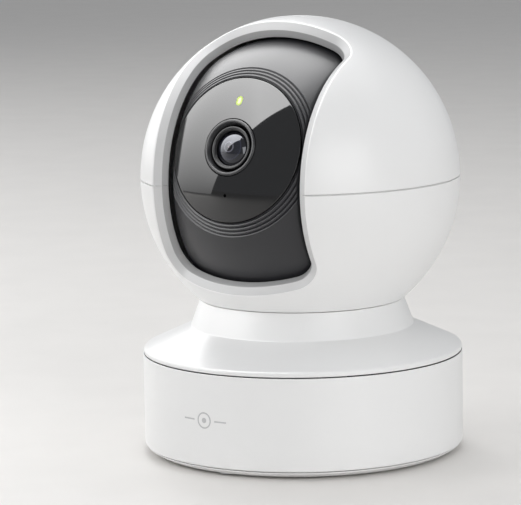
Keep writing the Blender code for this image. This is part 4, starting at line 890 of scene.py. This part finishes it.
def lensGlass():
    # The front element: a domed lens whose face rises as a circle's arc over its edge.
    low, edge = lens["crown"] + lens["glassBack"], lens["crown"] + lens["glassEdge"]
    radius, curve = lens["glassRadius"], lens["glassCurve"]
    reach = radius * np.cos(np.linspace(0, math.pi / 2, 30))
    height = edge + np.sqrt(curve**2 - reach**2) - math.sqrt(curve**2 - radius**2)
    profile = np.concatenate([[(0, low), (radius, low)], np.stack([reach, height], 1)])
    profile[-1, 0] = 0
    return turnedPiece("lensGlass", profile, finishes["lensCoating"], lensPlace, turns=128)


def underDome(piece, rise):
    # Trims a piece to the window's face, raised by this much.
    width, low = 17 * mm, 20 * mm
    reach = np.linspace(width, 0, 24)
    profile = np.concatenate([[(0, low), (width, low)], np.stack([reach, domeHeight(reach) + rise], 1)])
    return shaped(piece, [turnedPiece("underDome", profile, None, lensPlace)], "INTERSECT")


def statusLight():
    # A pill of light pipe in two parts: a green rim, and a bright core inside it.
    width, height = window["light"]
    place = atDepth(domeHeight(window["lightRise"]), window["lightRise"])
    coreWidth, coreHeight = window["lightCore"]
    outer, inner = pill(width, height), pill(coreWidth * width, coreHeight * height)
    rim = prism("statusLight", outer, place, 6 * mm, finishes["statusGreen"])
    shaped(rim, [prism("coreHole", inner * 1.04, place, 3 * mm)])
    core = prism("statusCore", inner, place, 2.9 * mm, finishes["statusGlow"])
    return underDome(rim, 0.03 * mm), underDome(core, -0.02 * mm)


settle(drumShell(), "lens_drum", "drum_plastic", "drum_shell")
settle(windowDisc(), "lens_drum", "window_black", "lens_window")
settle(lensHood(), "lens_drum", "lens_ring", "lens_hood")
settle(lensBarrel(), "lens_drum", "black_plastic", "lens_barrel")
settle(lensGlass(), "lens_drum", "lens_glass", "lens_glass")
statusRim, statusCore = statusLight()
settle(statusRim, "lens_drum", "status_light", "status_light_pipe")
settle(statusCore, "lens_drum", "status_light")
settle(resetButton(), "reset_button", "lens_ring", "reset_button")
print("drum and lens made")

mark = {
    "angle": math.radians(-5.3),  # round the base, from straight ahead towards the left
    "height": 14.6 * mm,
    "ring": (2.0 * mm, 0.36 * mm),  # radius and line width
    "dot": 0.7 * mm,
    "bar": (3.6 * mm, 0.36 * mm),  # length and line width
    "barAt": 5.1 * mm,
    "depth": 0.4 * mm,
}


def wrappedPatch(columns, rows, closed):
    # A thin body over the base's wall: flat (across, up) points are wound round it by arc length.
    flat = np.stack([columns, rows], -1)
    layers = []
    for radius in (baseRadius - mark["depth"], baseRadius):
        angle = flat[..., 0] / baseRadius + mark["angle"]
        height = flat[..., 1] + mark["height"]
        layers.append(np.stack([radius * np.sin(angle), -radius * np.cos(angle), height], -1))
    # The section's loop runs along the outer layer, then back along the inner one.
    loop = np.concatenate([layers[1], layers[0][:, ::-1]], 1)
    faces = gridFaces(loop.shape[0], loop.shape[1], closed, True).tolist()
    if not closed:
        count = loop.shape[1]
        last = (loop.shape[0] - 1) * count
        faces += [list(range(count)), list(range(last, last + count))]
    return loop.reshape(-1, 3), faces


def printedMark():
    # A plain ring with a dot in it and a short bar at each side, printed on the base.
    turn = np.linspace(0, 2 * math.pi, 96, endpoint=False)[:, None]
    radius, line = mark["ring"]
    across = radius + np.array([-line / 2, line / 2])
    bodies = [wrappedPatch(across * np.cos(turn), across * np.sin(turn), True)]
    spokes = np.array([0.02, 0.5, 1.0]) * mark["dot"]
    bodies.append(wrappedPatch(spokes * np.cos(turn), spokes * np.sin(turn), True))
    length, line = mark["bar"]
    for side in (-1, 1):
        along = side * mark["barAt"] + np.linspace(-length / 2, length / 2, 16)[:, None]
        bodies.append(wrappedPatch(along + np.zeros(2), np.zeros_like(along) + (-line / 2, line / 2), False))
    points, faces, start = [], [], 0
    for body, sides in bodies:
        points.append(body)
        faces += [[start + i for i in side] for side in sides]
        start += len(body)
    mesh = bpy.data.meshes.new("printedMark")
    mesh.from_pydata(np.concatenate(points).tolist(), [], faces)
    turnedOut(mesh)
    return finished("printedMark", mesh, finishes["markGrey"])


settle(printedMark(), "base", "white_shell")
print("mark made")

# A panel's place is its azimuth from straight ahead to the right, its elevation and its distance.
stage = {
    "floorSize": 4.0,
    "backdrop": (0.80, 0.79, 0.77),
    "sky": (0.95, 0.97, 1.0),
    "ambient": 0.38,
    "aim": np.array([0, 0, 0.06]),
    "mirror": {"place": (-83, 34, 1.0), "width": 2.1, "height": 4.2, "low": 1.3, "high": 7.0},
    "keyPanel": {"place": (-62, 22, 1.0), "width": 0.8, "height": 0.9, "strength": 1.9, "gloss": False},
    "topPanel": {"place": (150, 72, 0.9), "width": 0.7, "height": 0.7, "strength": 1.4, "gloss": True},
    "frontPanel": {"place": (62, 12, 1.3), "width": 0.9, "height": 0.8, "strength": 3.1, "gloss": True},
}


def aimedAt(azimuth, elevation, distance):
    # A place round the ball, looking at it: the direction is the two angles' unit vector.
    turn, lift = math.radians(azimuth), math.radians(elevation)
    away = np.array([math.sin(turn) * math.cos(lift), -math.cos(turn) * math.cos(lift), math.sin(lift)])
    return aimed(away, (0, 0, 1), stage["aim"] + away * distance)


def softPanel(name, place, width, height, strength, gloss):
    # An even soft light, square to the ball; on the left the mirror panel gives the gloss instead.
    light = bpy.data.lights.new(name, "AREA")
    light.shape, light.size, light.size_y = "RECTANGLE", width, height
    light.energy = strength * math.pi * width * height  # so the strength is the panel's own brightness
    holder = bpy.data.objects.new(name, light)
    holder.matrix_world = Matrix(aimedAt(*place))
    holder.visible_glossy = gloss
    bpy.context.scene.collection.objects.link(holder)


def gradedPanel(name, place, width, height, low, high):
    # A glowing sheet, seen only in gloss; its strength rises from the floor's level upwards.
    corners = np.array([(-1, -1), (1, -1), (1, 1), (-1, 1)]) * (width / 2, height / 2)
    points = np.concatenate([corners, np.zeros((4, 1)), np.ones((4, 1))], 1) @ aimedAt(*place).T
    glow = bpy.data.materials.new(name)
    glow.use_nodes = True
    glow.node_tree.nodes.clear()
    where = node(glow, "ShaderNodeTexCoord")
    split = node(glow, "ShaderNodeSeparateXYZ")
    link(glow, where, "Object", split, "Vector")
    level = node(glow, "ShaderNodeMapRange")
    level.inputs["From Min"].default_value, level.inputs["From Max"].default_value = 0.0, 1.1
    level.inputs["To Min"].default_value, level.inputs["To Max"].default_value = low, high
    link(glow, split, "Z", level, "Value")
    shine = node(glow, "ShaderNodeEmission")
    link(glow, level, "Result", shine, "Strength")
    link(glow, shine, "Emission", node(glow, "ShaderNodeOutputMaterial"), "Surface")
    mesh = bpy.data.meshes.new(name)
    mesh.from_pydata(points[:, :3].tolist(), [], [(0, 1, 2, 3)])
    sheet = finished(name, mesh, glow)
    sheet.visible_camera = sheet.visible_diffuse = False


def studioWorld():
    # A soft even sky for the light, and a plain pale backdrop where the camera looks past the floor.
    world = bpy.data.worlds.new("studio")
    bpy.context.scene.world = world
    world.use_nodes = True
    sky = world.node_tree.nodes["Background"]
    sky.inputs["Color"].default_value = (*stage["sky"], 1.0)
    sky.inputs["Strength"].default_value = stage["ambient"]
    backdrop = node(world, "ShaderNodeBackground")
    backdrop.inputs["Color"].default_value = (*stage["backdrop"], 1.0)
    paths, mixed = node(world, "ShaderNodeLightPath"), node(world, "ShaderNodeMixShader")
    link(world, paths, "Is Camera Ray", mixed, "Fac")
    link(world, sky, "Background", mixed, 1)
    link(world, backdrop, "Background", mixed, 2)
    link(world, mixed, "Shader", world.node_tree.nodes["World Output"], "Surface")


camera = {
    "turn": math.radians(31.7),  # to the right of straight ahead
    "reach": 0.78948,
    "rise": 0.17218,
    "aimShift": -0.01105,  # of the point looked at, to the right
    "aimHeight": 0.0535,
    "roll": -0.017,
    "lens": 203.97,
    "sensor": 36.0,
}


def placeCamera():
    # The eye is on a circle round the object; it looks at the aim and is rolled about that line.
    turn, shift, roll = camera["turn"], camera["aimShift"], camera["roll"]
    eye = np.array([camera["reach"] * math.sin(turn), -camera["reach"] * math.cos(turn), camera["rise"]])
    aim = np.array([shift * math.cos(turn), shift * math.sin(turn), camera["aimHeight"]])
    toward = (aim - eye) / np.linalg.norm(aim - eye)
    right = np.cross(toward, (0, 0, 1))
    right /= np.linalg.norm(right)
    above = np.cross(right, toward)
    place = np.eye(4)
    place[:3, 0] = math.cos(roll) * right + math.sin(roll) * above
    place[:3, 1] = math.cos(roll) * above - math.sin(roll) * right
    place[:3, 2], place[:3, 3] = -toward, eye
    data = bpy.data.cameras.new("camera")
    data.lens, data.sensor_width = camera["lens"], camera["sensor"]
    viewer = bpy.data.objects.new("camera", data)
    viewer.matrix_world = Matrix(place)
    bpy.context.scene.collection.objects.link(viewer)
    bpy.context.scene.camera = viewer


edge = stage["floorSize"]
corners = [(-edge, -edge, 0), (edge, -edge, 0), (edge, edge, 0), (-edge, edge, 0)]
meshPiece("floor", corners, [(0, 1, 2, 3)], finishes["floorPale"])
studioWorld()
gradedPanel("mirrorPanel", **stage["mirror"])
for name in ("keyPanel", "topPanel", "frontPanel"):
    softPanel(name, **stage[name])
bpy.context.scene.view_settings.view_transform = "Standard"
placeCamera()
print("stage made")
